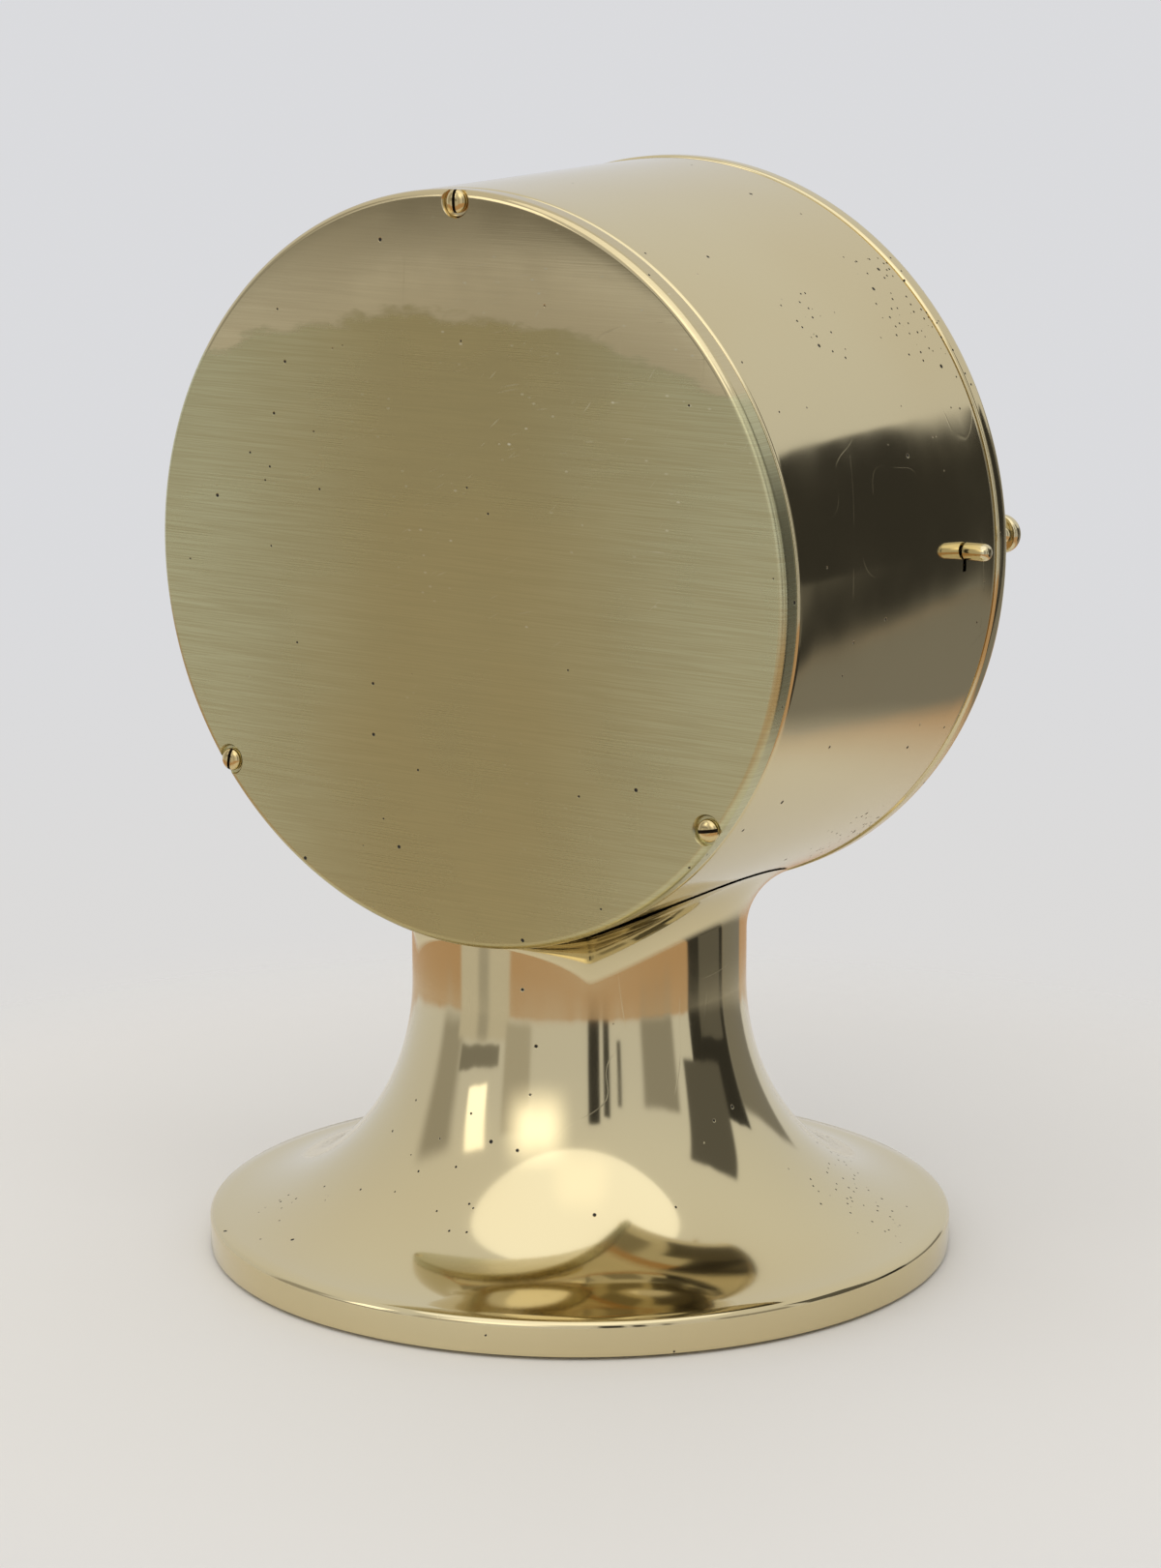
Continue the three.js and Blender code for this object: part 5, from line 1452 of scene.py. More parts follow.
@dataclass
class Hinge(Assembly):
    """The bezel's hinge at 3 o'clock: bracket, pin and screws."""

    drum: Drum
    x: float = 106.107
    y: float = -49.25
    knuckle: float = 3.0
    pin: float = 1.1
    half_height: float = 15.0
    middle: float = 4.8
    plate: float = 3.0
    rear_y: float = -31.0
    pin_end: float = 15.3
    pin_head: float = 2.25
    pin_head_height: float = 1.2
    pin_hole_half: float = 16.0
    front_gap: float = 0.8
    arm_gap: float = 0.3
    play: float = 0.1
    inner_x: float = 96.0
    screw_hole_from: float = 95.0
    seat_front: float = -56.0
    rounding: float = 1.2
    slot_turns: tuple[int, ...] = (45, 110)

    def leaf(self, outer: float) -> Piece:
        """The bracket: a rounded block with two arms, cut to the drum and drilled.

        Args:
            outer: the place of its outer face in X.

        Returns:
            The bracket.
        """
        lathe, z = self.shop.lathe, AXIS_HEIGHT
        front = self.y + self.knuckle + self.front_gap
        bracket = block(self.inner_x, outer, front, self.rear_y, z - self.half_height, z + self.half_height)
        bevel(bracket, self.rounding, 4)
        gap = self.middle + self.arm_gap
        arms = []
        for low, high in ((gap, self.half_height), (-self.half_height, -gap)):
            arms.append(lathe.rod(self.knuckle, low + z, high + z, Axis.Z, (self.x, self.y, 0), 48))
            combine(arms[-1], [block(self.x - self.knuckle, outer, self.y, front + 1, low + z, high + z)],
                    "UNION")
        combine(bracket, arms, "UNION")
        slope = [(self.drum.radius_at(y) + self.play, y) for y in (self.drum.rear_y, self.seat_front)]
        seat = lathe.turn("seat", [(0, self.drum.rear_y), *slope, (0, self.seat_front)])
        combine(bracket, [seat], "DIFFERENCE")
        holes = [lathe.rod(SMALL_SCREW_HOLE, self.screw_hole_from, outer + 1, Axis.X,
                           (0, HINGE_SCREW_Y, z + rise)) for rise in HINGE_SCREW_RISES]
        holes.append(lathe.rod(self.pin + self.play, z - self.pin_hole_half, z + self.pin_hole_half, Axis.Z,
                               (self.x, self.y, 0), 32))
        combine(bracket, holes, "DIFFERENCE")
        bracket.name = "hinge_leaf"
        return bracket

    def build(self) -> None:
        """Builds the bracket, its pin and its screws."""
        outer = self.drum.radius_at(self.drum.front_y) + self.plate
        self.shop.deliver(self.leaf(outer), Slot.POLISHED, Body.CASE, "hinge_bracket")
        end, head, height = self.pin_end, self.pin_head, self.pin_head_height
        crown = [(head * math.cos(a), end + height * math.sin(a)) for a in (0.2, 0.5, 0.8, 1.1, 1.35)]
        pin = self.shop.lathe.turn("hinge_pin_steel", [
            (0, -end), (self.pin - 0.2, -end), (self.pin, 0.2 - end), (self.pin, end - 0.2),
            (head - 0.15, end - 0.2), (head, end - 0.05), *crown, (0, end + height),
        ], 40, Axis.Z, (self.x, self.y, AXIS_HEIGHT))
        self.shop.deliver(pin, Slot.STEEL, Body.CASE, "hinge_pin")
        screws = ScrewSet(self.shop, shank=1.2, head=2.4, height=1.5, length=6.0, slot=0.8, slot_depth=0.8)
        seats = [((outer + SEAT_GAP, HINGE_SCREW_Y, AXIS_HEIGHT + rise), turn)
                 for rise, turn in zip(HINGE_SCREW_RISES, self.slot_turns)]
        screws.build("hinge_screws", seats, Axis.X, Slot.POLISHED, ["hinge_screw_upper", "hinge_screw_lower"])


@dataclass
class Bezel(Assembly):
    """The glazed front ring with its knuckle, knob and catch."""

    hinge: Hinge
    radius: float = 102.207
    rear_y: float = -49.4
    face_y: float = -55.0
    side_y: float = -53.1
    edge: float = 0.9
    shoulder: tuple[Point, ...] = ((0.0, 0.0), (0.12, 0.62), (0.45, 1.2), (0.95, 1.62), (1.5, 1.84))
    step: tuple[Point, ...] = ((93.6, 0.0), (93.0, 0.1), (92.5, 0.42), (92.2, 0.6), (91.8, 0.7), (91.2, 0.72))
    slope_end: Point = (86.0, -53.42)
    lip: tuple[Point, ...] = ((85.5, -53.3), (85.2, -53.0), (85.2, -52.5))
    rebate: float = 90.2
    seat_y: float = -52.5
    keeper: tuple[Point, ...] = (
        (86.4, -50.2), (90, -50.2), (90, -49.1), (89.8, -48.9), (86.8, -48.9), (86.4, -49.2),
    )
    pin_play: float = 0.15
    pin_hole_half: float = 6.0
    lug_inset: float = 3.0
    knob_hole_ends: Point = (-56.0, -52.0)
    pane_radius: float = 90.0
    pane_front: float = -52.4
    pane_rear: float = -50.3
    knob_at: Point3 = (-96.417, 0.0, 199.1)

    def ring_profile(self) -> list[Point]:
        """The ring's closed profile."""
        e = self.edge
        shoulder = [(self.radius - inset, self.side_y - drop) for inset, drop in self.shoulder]
        step = [(radius, self.face_y + rise) for radius, rise in self.step]
        return [
            (self.rebate, self.rear_y), (self.radius - e - 0.3, self.rear_y),
            *arc((self.radius - e, self.rear_y - e), e, 90, 0, 6), (self.radius, self.side_y + 0.4),
            *shoulder, (self.radius - 2.1, self.face_y), (self.radius - 2.6, self.face_y),
            *step[:-1], *span(step[-1], self.slope_end, 4), *self.lip, (self.rebate, self.seat_y),
        ]

    def build(self) -> None:
        """Builds the ring, the glass, its retainer and the knob, and gives the catch its steel."""
        lathe, h, z = self.shop.lathe, self.hinge, AXIS_HEIGHT
        ring = lathe.turn("bezel_frame", self.ring_profile())
        barrel = lathe.rod(h.knuckle, z - h.middle, z + h.middle, Axis.Z, (h.x, h.y, 0), 48)
        lug = block(self.radius - self.lug_inset, h.x, h.y - h.knuckle, self.rear_y, z - h.middle,
                    z + h.middle)
        combine(barrel, [lug], "UNION")
        combine(ring, [barrel], "UNION")
        holes = [lathe.rod(h.pin + self.pin_play, z - self.pin_hole_half, z + self.pin_hole_half, Axis.Z,
                           (h.x, h.y, 0), 32),
                 lathe.rod(SCREW_HOLE, *self.knob_hole_ends, Axis.Y, self.knob_at)]
        combine(ring, holes, "DIFFERENCE")
        self.shop.deliver(ring, Slot.POLISHED, Body.BEZEL, "bezel_ring")
        r, front, rear = self.pane_radius, self.pane_front, self.pane_rear
        glass = lathe.turn("bezel_pane", [
            (0, front), (60, front), (r - 0.7, front), (r - 0.6, front), (r - 0.15, front + 0.2),
            (r, front + 0.5), (r, rear - 0.5), (r - 0.15, rear - 0.2), (r - 0.6, rear), (r - 0.7, rear),
            (60, rear), (0, rear),
        ], PLAIN_SIDES)
        self.shop.deliver(glass, Slot.GLASS, Body.BEZEL, "bezel_glass")
        keeper = lathe.turn("glass_keeper", self.keeper, PLAIN_SIDES)
        self.shop.deliver(keeper, Slot.MOVEMENT, Body.BEZEL, "glass_retaining_ring")
        self.knob()
        self.shop.dress(Slot.STEEL, "bezel_catch")

    def knob(self) -> None:
        """Builds the turned knob on the ring's face."""
        seat = self.face_y - SEAT_GAP
        profile = [(0, seat + 2.7), (1.5, seat + 2.7), (1.5, seat), (3.5, seat), (3.6, seat - 0.25)]
        profile += [(2.2 + 1.3 * (1 - math.sin(a)), seat - 0.3 - 1.6 * (1 - math.cos(a)))
                    for a in quarter(6, first=1)]
        profile += [(2.2, seat - 3.6), (2.5, seat - 4.3), (3.2, seat - 4.85), (4.1, seat - 5.0)]
        profile += [(4.1 + 1.15 * math.sin(a), seat - 6.1 + 1.1 * math.cos(a))
                    for a in quarter(5, first=1)]
        profile += [(x, seat - 6.9 - 2.5 * rise) for x, rise in dome(5.25, 0.7, 9)]
        knob = self.shop.lathe.turn("bezel_pull", profile, KNOB_SIDES, Axis.Y, self.knob_at)
        self.shop.deliver(knob, Slot.POLISHED, Body.BEZEL, "bezel_knob")


@dataclass
class Latch(Assembly):
    """The latch's pin outside the drum; the lever and its spring stay as they are."""

    radius: float = 2.35
    root: float = -101.715
    length: float = 7.5
    tip: float = 2.2
    y: float = -32.35
    z: float = 3.8
    socket_depth: float = 1.8
    socket_half_y: float = 0.65
    socket_half_z: float = 1.25

    def build(self) -> None:
        """Builds the pin."""
        r, shoulder = self.radius, self.length - self.tip
        profile = [(0, 0), (r - 0.35, 0), (r - 0.1, 0.1), (r, 0.35), (r, shoulder)]
        profile += [(x, shoulder + self.tip * rise) for x, rise in dome(r, 0.75, 9, first=1)]
        pin = self.shop.lathe.turn("latch_pin", profile, KNOB_SIDES, Axis.Y, (0, 0, 0))
        z = AXIS_HEIGHT + self.z
        move(pin.data, (self.root, self.y, z), Matrix.Rotation(math.pi / 2, 4, "Z"))
        socket = block(self.root - self.socket_depth, self.root + 1, self.y - self.socket_half_y,
                       self.y + self.socket_half_y, z - self.socket_half_z, z + self.socket_half_z)
        combine(pin, [socket], "DIFFERENCE")
        self.shop.deliver(pin, Slot.POLISHED, Body.LATCH, "latch_knob")
        self.shop.dress(Slot.STEEL, "latch_lever", "latch_pivot_screw", "latch_spring")


@dataclass(frozen=True)
class Track:
    """A printed ring of ticks in millimetres: the long ones at each fifth place, or the ones between."""

    name: str
    radius: float
    width: float
    length: float
    fifths: bool


TICK_PLACES = 60
MINUTE_TRACKS = (Track("minute_ticks", 76.2, 0.5, 3.4, False), Track("hour_ticks", 75.6, 1.7, 4.6, True))
SECOND_TRACKS = (Track("second_ticks", 12.9, 0.22, 1.3, False), Track("fives_ticks", 12.5, 0.5, 2.1, True))


class TickTree(PieceTree):
    """A tree that sets bars round a circle, as on a minute track."""

    def __init__(self) -> None:
        """Builds the tree."""
        super().__init__("ring of ticks", {
            "Count": "Int", "Radius": "Float", "Width": "Float", "Length": "Float", "Depth": "Float",
            "Every": "Int", "Fifths": "Bool",
        })
        g, entry = self, self.entry
        circle = g.add("GeometryNodeMeshCircle", {"Vertices": entry["Count"], "Radius": entry["Radius"]})
        size = g.add("ShaderNodeCombineXYZ", {0: entry["Length"], 1: entry["Width"], 2: entry["Depth"]})
        bar = g.add("GeometryNodeMeshCube", {"Size": size.outputs[0]}).outputs["Mesh"]
        index = g.add("GeometryNodeInputIndex").outputs[0]
        angle = g.math("MULTIPLY", index, g.math("DIVIDE", 2 * math.pi, entry["Count"]))
        euler = g.add("ShaderNodeCombineXYZ", {2: angle}).outputs[0]
        spin = g.add("FunctionNodeEulerToRotation", {0: euler}).outputs[0]
        rest = g.math("MODULO", index, entry["Every"])
        fifth = g.add("FunctionNodeCompare", {0: rest, 1: 0.5}, data_type="FLOAT", operation="LESS_THAN")
        chosen = g.add("FunctionNodeBooleanMath", {0: fifth.outputs[0], 1: entry["Fifths"]}, operation="XNOR")
        g.end(g.add("GeometryNodeInstanceOnPoints", {
            "Points": circle.outputs["Mesh"], "Instance": bar, "Rotation": spin,
            "Selection": chosen.outputs[0],
        }).outputs[0])

    def ring(self, track: Track, centre: Point, y: float, depth: float, ink: bpy.types.Material) -> Piece:
        """Makes one ring of ticks in the dial's plane.

        Args:
            track: the ticks.
            centre: the ring's centre in X and Z.
            y: the plane's place.
            depth: how thick the ticks are.
            ink: their material.

        Returns:
            The ticks as one object.
        """
        lengths = {"Radius": track.radius, "Width": track.width, "Length": track.length, "Depth": depth}
        inputs = {key: length * MM for key, length in lengths.items()}
        inputs.update({"Count": TICK_PLACES, "Every": 5, "Fifths": track.fifths, "Finish": ink})
        obj = self.run(mesh_object(track.name, [(0, 0, 0)], []), inputs)
        move(obj.data, (centre[0], y, centre[1]), Matrix.Rotation(math.pi / 2, 4, "X"))
        close_up(obj.data)
        return obj


@dataclass
class Dial(Assembly):
    """The enamelled dial with its printed numbers and tracks, and the hands."""

    radius: float = 88.0
    front_y: float = -39.2
    rear_y: float = -38.0
    seconds_at: Point = (0.0, 26.0)
    winding_at: Point = (-24.083, -16.863)
    seconds_hole: float = 1.5
    winding_hole: float = 4.2
    hands_hole: float = 4.2
    hours_circle: float = 62.5
    hours_size: float = 14.5
    seconds_circle: float = 9.4
    seconds_size: float = 2.6
    ink_depth: float = 0.08
    hole_ends: Point = (-41.0, -36.0)
    eyelet_profile: tuple[Point, ...] = (
        (3.6, 0.9), (4.1, 0.9), (4.1, -0.02), (5.0, -0.02), (5.05, -0.2), (4.8, -0.42), (4.3, -0.5),
        (3.85, -0.4), (3.6, -0.1),
    )
    collet_profile: tuple[Point, ...] = (
        (0, -43.42), (2.3, -43.42), (2.45, -43.6), (2.2, -44.0), (1.5, -44.3), (0.7, -44.42), (0, -44.45),
    )
    slot_turns: tuple[int, ...] = (20, 70, 120)
    shown: Point3 = (10, 8, 36)

    def build(self) -> None:
        """Builds the dial, its print, its screws and the hands."""
        self.plate()
        self.print_tracks()
        self.eyelet()
        screws = ScrewSet(self.shop, shank=1.2, head=2.4, height=1.5, length=6.0, slot=0.7, slot_depth=0.7)
        seats = [(seat_at(DIAL_SCREW_CIRCLE, angle, self.front_y - SEAT_GAP), turn)
                 for angle, turn in zip(DIAL_SCREW_ANGLES, self.slot_turns)]
        screws.build("dial_screws", seats, Axis.Y, Slot.BLUED, [f"dial_screw_{i}" for i in (1, 2, 3)],
                     flip=True)
        self.hands()

    def plate(self) -> None:
        """Builds the dial plate with its holes."""
        lathe = self.shop.lathe
        plate = lathe.turn("dial_plate", [
            (0, self.rear_y), (self.radius - 0.2, self.rear_y), (self.radius, self.rear_y - 0.2),
            (self.radius, self.front_y + 0.25), (self.radius - 0.25, self.front_y),
            (self.radius - 1, self.front_y), (0, self.front_y),
        ], 180)
        holes = [((0, 0), self.hands_hole), (self.seconds_at, self.seconds_hole),
                 (self.winding_at, self.winding_hole)]
        holes += [(on_clock(DIAL_SCREW_CIRCLE, angle), SMALL_SCREW_HOLE) for angle in DIAL_SCREW_ANGLES]
        cutters = [lathe.rod(r, *self.hole_ends, Axis.Y, (x, 0, z + AXIS_HEIGHT), 40) for (x, z), r in holes]
        combine(plate, cutters, "DIFFERENCE")
        self.shop.deliver(plate, Slot.DIAL, Body.CASE, "dial")

    def print_tracks(self) -> None:
        """Prints the minute track, the seconds ring and the numbers."""
        ink = self.shop.finishes.ink
        half = self.ink_depth / 2
        y = self.front_y - half
        centre, small = (0.0, AXIS_HEIGHT), raised(self.seconds_at)
        pieces = [self.shop.ticks.ring(track, at, y, self.ink_depth, ink)
                  for at, tracks in ((centre, MINUTE_TRACKS), (small, SECOND_TRACKS)) for track in tracks]
        lines = (("track_line", centre, 78.2, 0.35), ("seconds_line", small, 13.75, 0.2))
        for name, at, radius, width in lines:
            pieces.append(self.shop.lathe.turn(name, [
                (radius - width / 2, y - half), (radius + width / 2, y - half),
                (radius + width / 2, y + half), (radius - width / 2, y + half),
            ], PLAIN_SIDES, Axis.Y, (at[0], 0, at[1])))
        for hour in range(1, 13):
            pieces.append(self.number(str(hour), on_clock(self.hours_circle, 30 * hour), self.hours_size))
        for label, angle in (("60", 0), ("15", 90), ("30", 180), ("45", 270)):
            x, z = on_clock(self.seconds_circle, angle)
            at = (x + self.seconds_at[0], z + self.seconds_at[1])
            pieces.append(self.number(label, at, self.seconds_size))
        marks = merged("dial_print", pieces)
        self.shop.deliver(marks, Slot.DIAL, Body.CASE, material=ink)

    def number(self, text: str, at: Point, size: float) -> Piece:
        """A plain upright number on the dial.

        Args:
            text: the digits.
            at: the middle of the number, in X and Z from the axis.
            size: about the digits' height in millimetres.

        Returns:
            The number as a mesh.
        """
        curve = bpy.data.curves.new("number", "FONT")
        curve.body = text
        curve.size = size * MM * FONT_SCALE
        curve.extrude = self.ink_depth / 2 * MM
        curve.align_x = "CENTER"
        curve.align_y = "CENTER"
        curve.space_character = 0.92
        obj = linked("number", curve)
        bpy.context.view_layer.update()
        mesh = bpy.data.meshes.new_from_object(obj.evaluated_get(bpy.context.evaluated_depsgraph_get()))
        bpy.data.objects.remove(obj)
        low = Vector([min(v.co[k] for v in mesh.vertices) for k in range(3)])
        high = Vector([max(v.co[k] for v in mesh.vertices) for k in range(3)])
        upright = Matrix.Rotation(math.pi / 2, 4, "X") @ Matrix.Translation(-(low + high) / 2)
        move(mesh, (at[0], self.front_y - self.ink_depth / 2, at[1] + AXIS_HEIGHT), upright)
        close_up(mesh)
        return linked("number", mesh)

    def eyelet(self) -> None:
        """Builds the brass eyelet round the winding hole."""
        x, z = raised(self.winding_at)
        profile = [(radius, self.front_y + rise) for radius, rise in self.eyelet_profile]
        ring = self.shop.lathe.turn("winding_eyelet", profile, KNOB_SIDES, Axis.Y, (x, 0, z))
        self.shop.deliver(ring, Slot.MOVEMENT, Body.CASE)

    def hands(self) -> None:
        """Builds the three hands at the shown time."""
        hours, minutes, seconds = self.shown
        minute_angle = 6 * (minutes + seconds / 60)
        hour_angle = 30 * hours + minute_angle / 12
        centre, small = (0.0, AXIS_HEIGHT), raised(self.seconds_at)
        MINUTE_HAND.build(self.shop, centre, minute_angle)
        HOUR_HAND.build(self.shop, centre, hour_angle)
        SECONDS_HAND.build(self.shop, small, 6 * seconds)
        cap = self.shop.lathe.turn("hand_collet", self.collet_profile, 48)
        self.shop.deliver(cap, Slot.MOVEMENT, Body.MINUTES)


@dataclass(frozen=True)
class Hand:
    """A leaf-shaped hand with a round hub, the solid that it stands for and its body, in millimetres.

    The leaf is where it starts, swells, bends and is widest, in shares of the width and the length.
    """

    name: str
    node: str
    body: Body
    length: float
    hub: float
    width: float
    tail: float
    front_y: float
    rear_y: float
    leaf: tuple[Point, ...] = ((0.16, 0.25), (0.18, 0.45), (0.7, 0.62), (0.5, 0.72))
    steps: int = 12

    def outline(self) -> list[Point]:
        """The outline, pointing up, drawn clockwise from the tail."""
        right = []
        start = -90 + (20 if self.tail else 0)
        if self.tail:
            right.append((self.hub * 0.5, -self.tail))
        right += arc((0, 0), self.hub, start, 78, 22)
        foot, neck, control, belly = ((self.width * x, self.length * z) for x, z in self.leaf)
        right += span(foot, neck, 3)[:-1]
        for i in range(self.steps + 1):
            t = i / self.steps
            right.append(tuple((1 - t) ** 2 * neck[k] + 2 * t * (1 - t) * control[k] + t ** 2 * belly[k]
                               for k in (0, 1)))
        right += span(belly, (0.15, self.length), 4)[1:]
        return right + [(-x, z) for x, z in reversed(right)]

    def build(self, shop: Workshop, centre: Point, clockwise: float) -> None:
        """Builds the hand, turned about its centre.

        Args:
            shop: the workshop that finishes it.
            centre: the arbor's place in X and Z.
            clockwise: the angle from 12 o'clock in degrees.
        """
        points = self.outline()
        if not self.tail:
            points = [p for i, p in enumerate(points) if i == 0 or math.dist(p, points[i - 1]) > 1e-4]
            if math.dist(points[0], points[-1]) < 1e-4:
                points.pop()
        n = len(points)
        vertices = [(x, self.front_y, z) for x, z in points] + [(x, self.rear_y, z) for x, z in points]
        faces = [tuple(range(n)), tuple(range(2 * n - 1, n - 1, -1))]
        faces += [(i, (i + 1) % n, (i + 1) % n + n, i + n) for i in range(n)]
        obj = mesh_object(self.name, vertices, faces)
        close_up(obj.data)
        bevel(obj, min(0.16, (self.rear_y - self.front_y) * 0.3), 2)
        move(obj.data, (centre[0], 0, centre[1]), Matrix.Rotation(math.radians(clockwise), 4, "Y"))
        shop.deliver(obj, Slot.BLUED, self.body, self.node)


MINUTE_HAND = Hand("minute_pointer", "minute_hand", Body.MINUTES, length=74, hub=4.0, width=6.4, tail=14,
                   front_y=-43.4, rear_y=-42.8)
HOUR_HAND = Hand("hour_pointer", "hour_hand", Body.HOURS, length=50, hub=5.2, width=9.0, tail=0,
                 front_y=-41.6, rear_y=-41.0)
SECONDS_HAND = Hand("seconds_pointer", "seconds_hand", Body.SECONDS, length=12.5, hub=1.9, width=1.4, tail=4,
                    front_y=-40.2, rear_y=-39.8)


@dataclass(frozen=True)
class Spring:
    """A flat spring wound in a spiral about an arbor, in millimetres.

    Its node is the solid that it stands for, and its joint the one that turns about the same arbor.
    """

    name: str
    node: str
    joint: str
    body: Body
    inner: float
    outer: float
    turns: int
    thickness: float
    front_y: float
    rear_y: float
    steps: int = 60

    def build(self, shop: Workshop) -> None:
        """Builds the spring as one ribbon from its inner end to its outer one.

        Args:
            shop: the workshop that finishes it.
        """
        places = {joint["name"]: joint["pos_m"] for joint in frame["joints"]}
        centre = places[self.joint][0] / MM, places[self.joint][2] / MM
        last = self.turns * self.steps
        half = self.thickness / 2
        corners = ((-half, self.front_y), (half, self.front_y), (half, self.rear_y), (-half, self.rear_y))
        vertices = []
        for i in range(last + 1):
            radius = self.inner + (self.outer - self.inner) * i / last
            for side, y in corners:
                x, z = polar(radius + side, 360 * i / self.steps, centre)
                vertices.append((x, y, z))
        faces = [(0, 1, 2, 3), tuple(4 * last + k for k in range(4))]
        for i in range(0, 4 * last, 4):
            faces += [(i + k, i + (k + 1) % 4, i + (k + 1) % 4 + 4, i + k + 4) for k in range(4)]
        obj = mesh_object(self.name, vertices, faces)
        close_up(obj.data)
        shop.deliver(obj, Slot.BLUED, self.body, self.node)


SPRINGS = (
    Spring("balance_coil", "hairspring", "balance_swing", Body.CASE, 2.1, 7.6, 4, 0.25, 3.8, 4.8),
    Spring("barrel_coil", "mainspring", "barrel_spin", Body.BARREL, 5.2, 20.2, 5, 0.5, -16.8, -9.0),
)


@dataclass
class Movement(Assembly):
    """The movement behind the dial, whose solids stay and get their finishes, and its wound springs."""

    brass: tuple[str, ...] = (
        "front_plate", "back_plate", "centre_wheel", "third_wheel", "fourth_wheel", "escape_wheel",
        "balance_wheel", "balance_cock", "mainspring_barrel", "minute_wheel", "hour_wheel",
        *(f"{kind}_{i}" for kind in ("dial_pillar", "movement_pillar") for i in (1, 2, 3)),
    )
    steel: tuple[str, ...] = ("pallet_fork", "winding_arbor", "click", "cannon_pinion")
    blued: tuple[str, ...] = ("plate_screw_1", "plate_screw_2", "plate_screw_3")

    def build(self) -> None:
        """Dresses the solids and winds the springs."""
        for nodes, slot in ((self.brass, Slot.MOVEMENT), (self.steel, Slot.STEEL), (self.blued, Slot.BLUED)):
            self.shop.dress(slot, *nodes)
        for spring in SPRINGS:
            spring.build(self.shop)
        LOG.info("movement: %d solids", len(self.brass) + len(self.steel) + len(self.blued))


@dataclass(frozen=True)
class Panel:
    """A soft-edged panel of the room, by compass and height in degrees, with its light."""

    start: float
    end: float
    low: float
    high: float
    level: float
    soft: float = 0.5


PANELS = (
    Panel(204, 240.4, -30, 16.5, 0.05), Panel(240, 268, -30, 10, 0.30, 1.5),
    Panel(214, 236, -17, -6, 0.17), Panel(196, 226, 1, 38, 0.16, 1.2),
    Panel(130, 137.5, -14, 28, 0.06), Panel(140, 144, -14, 25, 0.08),
    Panel(149, 151.5, -6, 20, 0.14), Panel(166, 190, -14, 20, 0.42, 2.0),
    Panel(20, 40, -12, 30, 0.50, 4.0), Panel(36, 76, -19, -5.7, 0.80, 1.6),
    Panel(51.5, 60, -19, -5.7, 0.55, 2.6), Panel(40, 70, -4.0, 4.0, 0.32, 0.8),
    Panel(74, 92, -12, 30, 0.62, 1.5), Panel(50, 63, 10, 34, 2.4, 1.0),
    Panel(108, 142, 42, 66, 1.2, 9.0), Panel(82, 112, 18, 40, 2.4, 10.0),
)


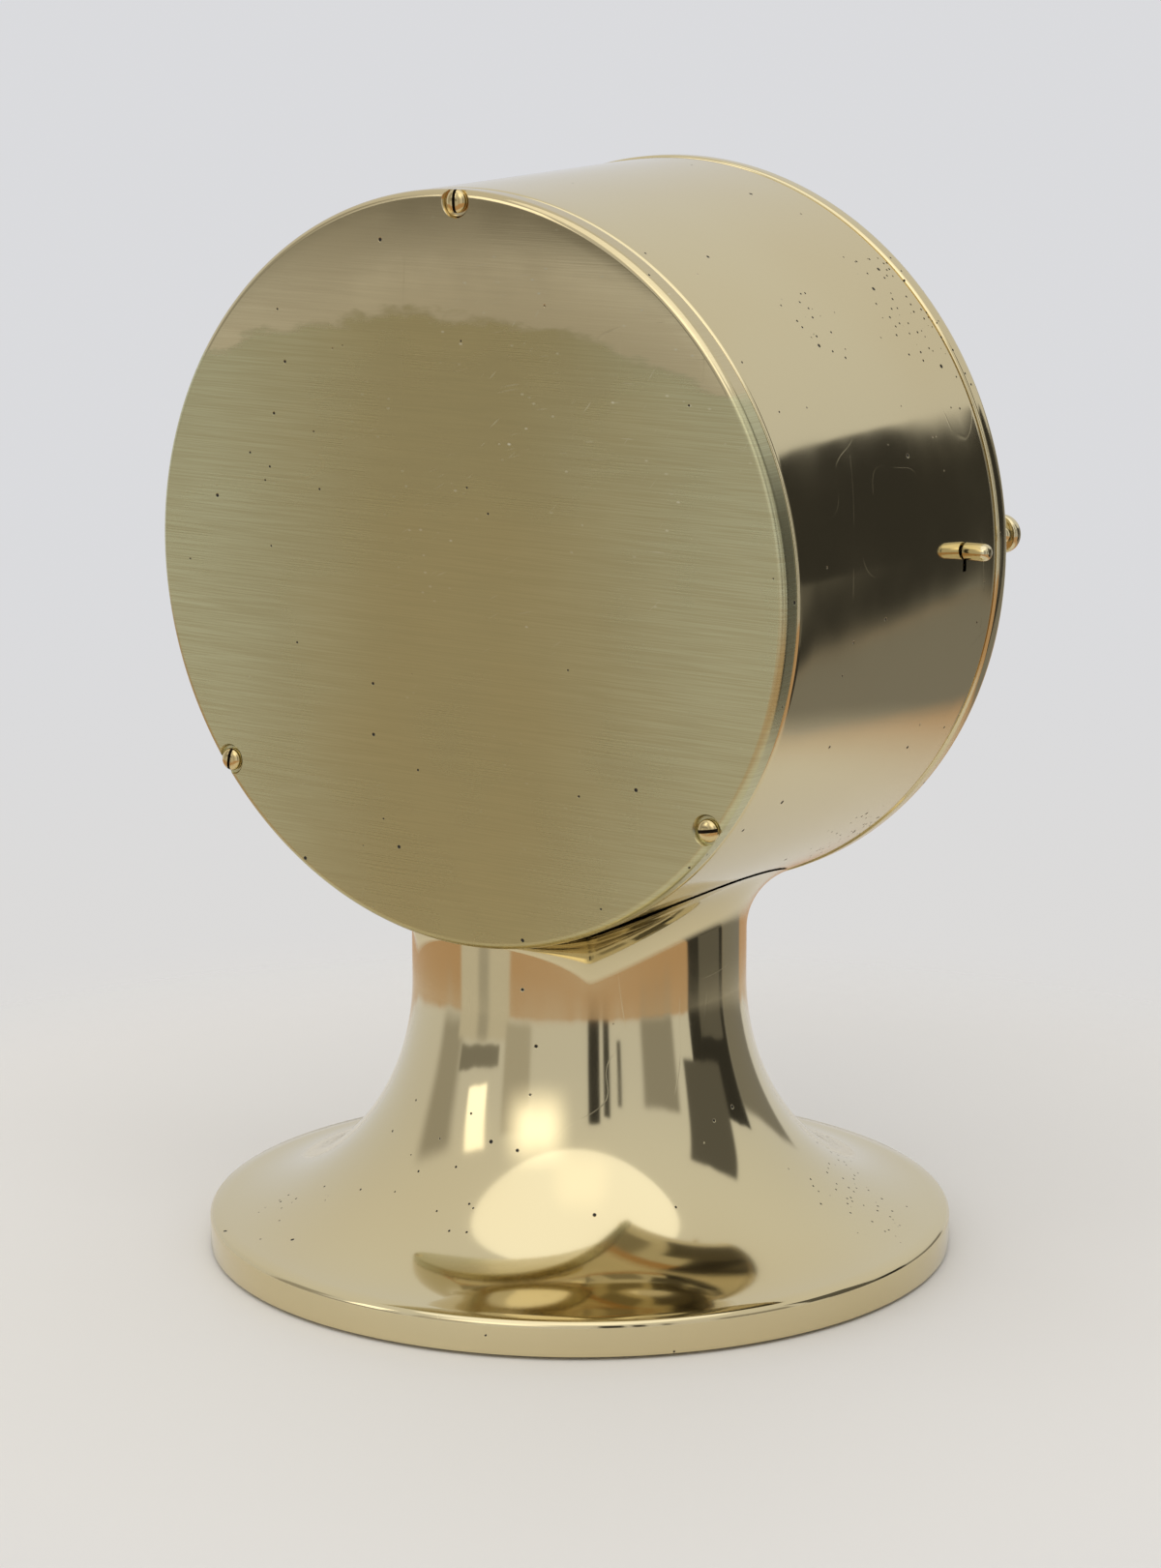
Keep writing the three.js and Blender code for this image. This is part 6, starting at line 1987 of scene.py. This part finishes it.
@dataclass
class Studio:
    """The pale floor, the soft lamp, the world and the camera."""

    camera_at: Point3 = (-654.1, 953.1, 385.0)
    look_at: Point3 = (0.0, 0.0, 129.2)
    aside: float = 0.394
    roll: float = math.radians(-0.094)
    focal_pixels: float = 4461.0
    image_height: float = 1621.0
    film: float = 36.0
    floor_radius: float = 0.36
    floor_even: float = 0.22
    floor_roughness: float = 0.6
    ground_colour: Colour = (0.68, 0.45, 0.28)
    floor_colour: Colour = (0.84, 0.82, 0.79)
    distant_floor: Colour = (0.90, 0.88, 0.85)
    floor_drop: float = 0.2
    wall_colour: Colour = (0.88, 0.885, 0.91)
    ceiling_colour: Colour = (1.0, 0.99, 0.97)
    panel_tint: Colour = (1.0, 0.97, 0.92)
    ragged_scale: float = 7.0
    ragged_depth: float = 0.05
    ground_line: Point = (-0.25, -0.23)
    floor_line: Point = (-0.32, -0.14)
    room_light: float = 0.8
    lamp_light: float = 0.55
    lamp_size: float = 3.0
    lamp_at: Point3 = (-0.4, 0.7, 2.3)
    lamp_aim: Point3 = (0.0, 0.0, 0.12)

    def build(self) -> None:
        """Builds the stage."""
        self.camera()
        self.floor()
        self.lamp()
        self.world()
        bpy.context.scene.view_settings.view_transform = "Standard"

    def camera(self) -> None:
        """Places the camera as in the photograph."""
        data = bpy.data.cameras.new("camera")
        data.sensor_fit = "VERTICAL"
        data.sensor_height = self.film
        data.sensor_width = self.film
        data.lens = self.focal_pixels * self.film / self.image_height
        obj = linked("camera", data)
        at, target = Vector(self.camera_at) * MM, Vector(self.look_at) * MM
        ahead = (target - at).normalized()
        right = ahead.cross(Vector((0, 0, 1))).normalized()
        ahead = (target + right * self.aside * MM - at).normalized()
        turn = ahead.to_track_quat("-Z", "Y").to_matrix().to_4x4()
        obj.matrix_world = Matrix.Translation(at) @ turn @ Matrix.Rotation(self.roll, 4, "Z")
        bpy.context.scene.camera = obj

    def floor(self) -> None:
        """Lays a plain pale floor, seen from above only, which fades into ground of nearly its colour."""
        ring = [polar(self.floor_radius / MM, 360 * i / PLAIN_SIDES) for i in range(PLAIN_SIDES)]
        obj = mesh_object("floor", [(x, y, -self.floor_drop) for x, y in ring], [tuple(range(PLAIN_SIDES))])
        material, g = new_material("pale_floor")
        away = g.add("ShaderNodeVectorMath", {0: g.place()}, operation="LENGTH").outputs["Value"]
        below = g.add("ShaderNodeNewGeometry").outputs["Backfacing"]
        fade = g.math("MULTIPLY", g.ramp(away, self.floor_even, self.floor_radius, 1.0, 0.0),
                      g.math("SUBTRACT", 1.0, below))
        surface(g, {"Base Color": (*self.floor_colour, 1.0), "Roughness": self.floor_roughness,
                    "Alpha": fade})
        obj.data.materials.append(material)

    def lamp(self) -> None:
        """Hangs one wide soft lamp above; lamp_light is its radiance."""
        data = bpy.data.lights.new("overhead", "AREA")
        data.shape = "DISK"
        data.size = self.lamp_size
        data.energy = self.lamp_light * math.pi * math.pi * (data.size / 2) ** 2
        obj = linked("overhead", data)
        obj.location = self.lamp_at
        aim = Vector(self.lamp_aim) - obj.location
        obj.rotation_euler = aim.to_track_quat("-Z", "Y").to_euler()

    def world(self) -> None:
        """Fills the room with pale light and with panels that the metal mirrors."""
        world = bpy.data.worlds.new("room")
        bpy.context.scene.world = world
        world.use_nodes = True
        world.node_tree.nodes.clear()
        g = ShaderGraph(world.node_tree)
        way = g.add("ShaderNodeTexCoord").outputs["Generated"]
        parts = g.add("ShaderNodeSeparateXYZ", {0: way}).outputs
        shake = g.noise(way, self.ragged_scale, 3)
        ragged = g.math("MULTIPLY", g.math("SUBTRACT", shake, 0.5), self.ragged_depth)
        azimuth = g.math("ARCTAN2", g.math("MULTIPLY", parts[1], -1.0), g.math("MULTIPLY", parts[0], -1.0))
        height = g.math("ADD", g.math("ARCSINE", parts[2]), ragged)
        wall = g.blend(g.ramp(parts[2], 0.0, 0.9), self.wall_colour, self.ceiling_colour)
        room = g.blend(g.ramp(height, *self.ground_line, 1.0, 0.0), wall, self.ground_colour)
        for panel in PANELS:
            soft = math.radians(panel.soft)
            start, end = math.radians(panel.start - 180), math.radians(panel.end - 180)
            across = self.window(g, azimuth, start, end, soft)
            along = self.window(g, height, math.radians(panel.low), math.radians(panel.high), soft)
            tone = tuple(panel.level * share for share in self.panel_tint)
            room = g.blend(g.math("MULTIPLY", across, along), room, tone)
        rays = g.add("ShaderNodeLightPath").outputs
        seen = g.math("MAXIMUM", rays["Is Camera Ray"], rays["Is Transmission Ray"])
        plain = g.blend(g.ramp(parts[2], *self.floor_line, 1.0, 0.0), wall, self.distant_floor)
        colour = g.blend(seen, room, plain)
        back = g.add("ShaderNodeBackground", {"Color": colour, "Strength": self.room_light})
        g.add("ShaderNodeOutputWorld", {"Surface": back.outputs[0]})

    @staticmethod
    def window(g: ShaderGraph, value: Socket, low: float, high: float, soft: float) -> Socket:
        """A soft-edged mask that is 1 between two values."""
        return g.math("MULTIPLY", g.ramp(value, low - soft, low + soft),
                      g.ramp(value, high - soft, high + soft, 1.0, 0.0))


def main() -> None:
    """Builds every sub-assembly in order."""
    logging.basicConfig(level=logging.INFO, format="%(name)s %(message)s")
    Studio().build()
    shop = Workshop()
    drum = Drum(shop)
    hinge = Hinge(shop, drum)
    assemblies: list[Assembly] = [
        drum, Pedestal(shop, drum), RearCover(shop), hinge, Bezel(shop, hinge), Latch(shop), Dial(shop),
        Movement(shop),
    ]
    for assembly in assemblies:
        assembly.build()


if __name__ == "__main__":
    main()
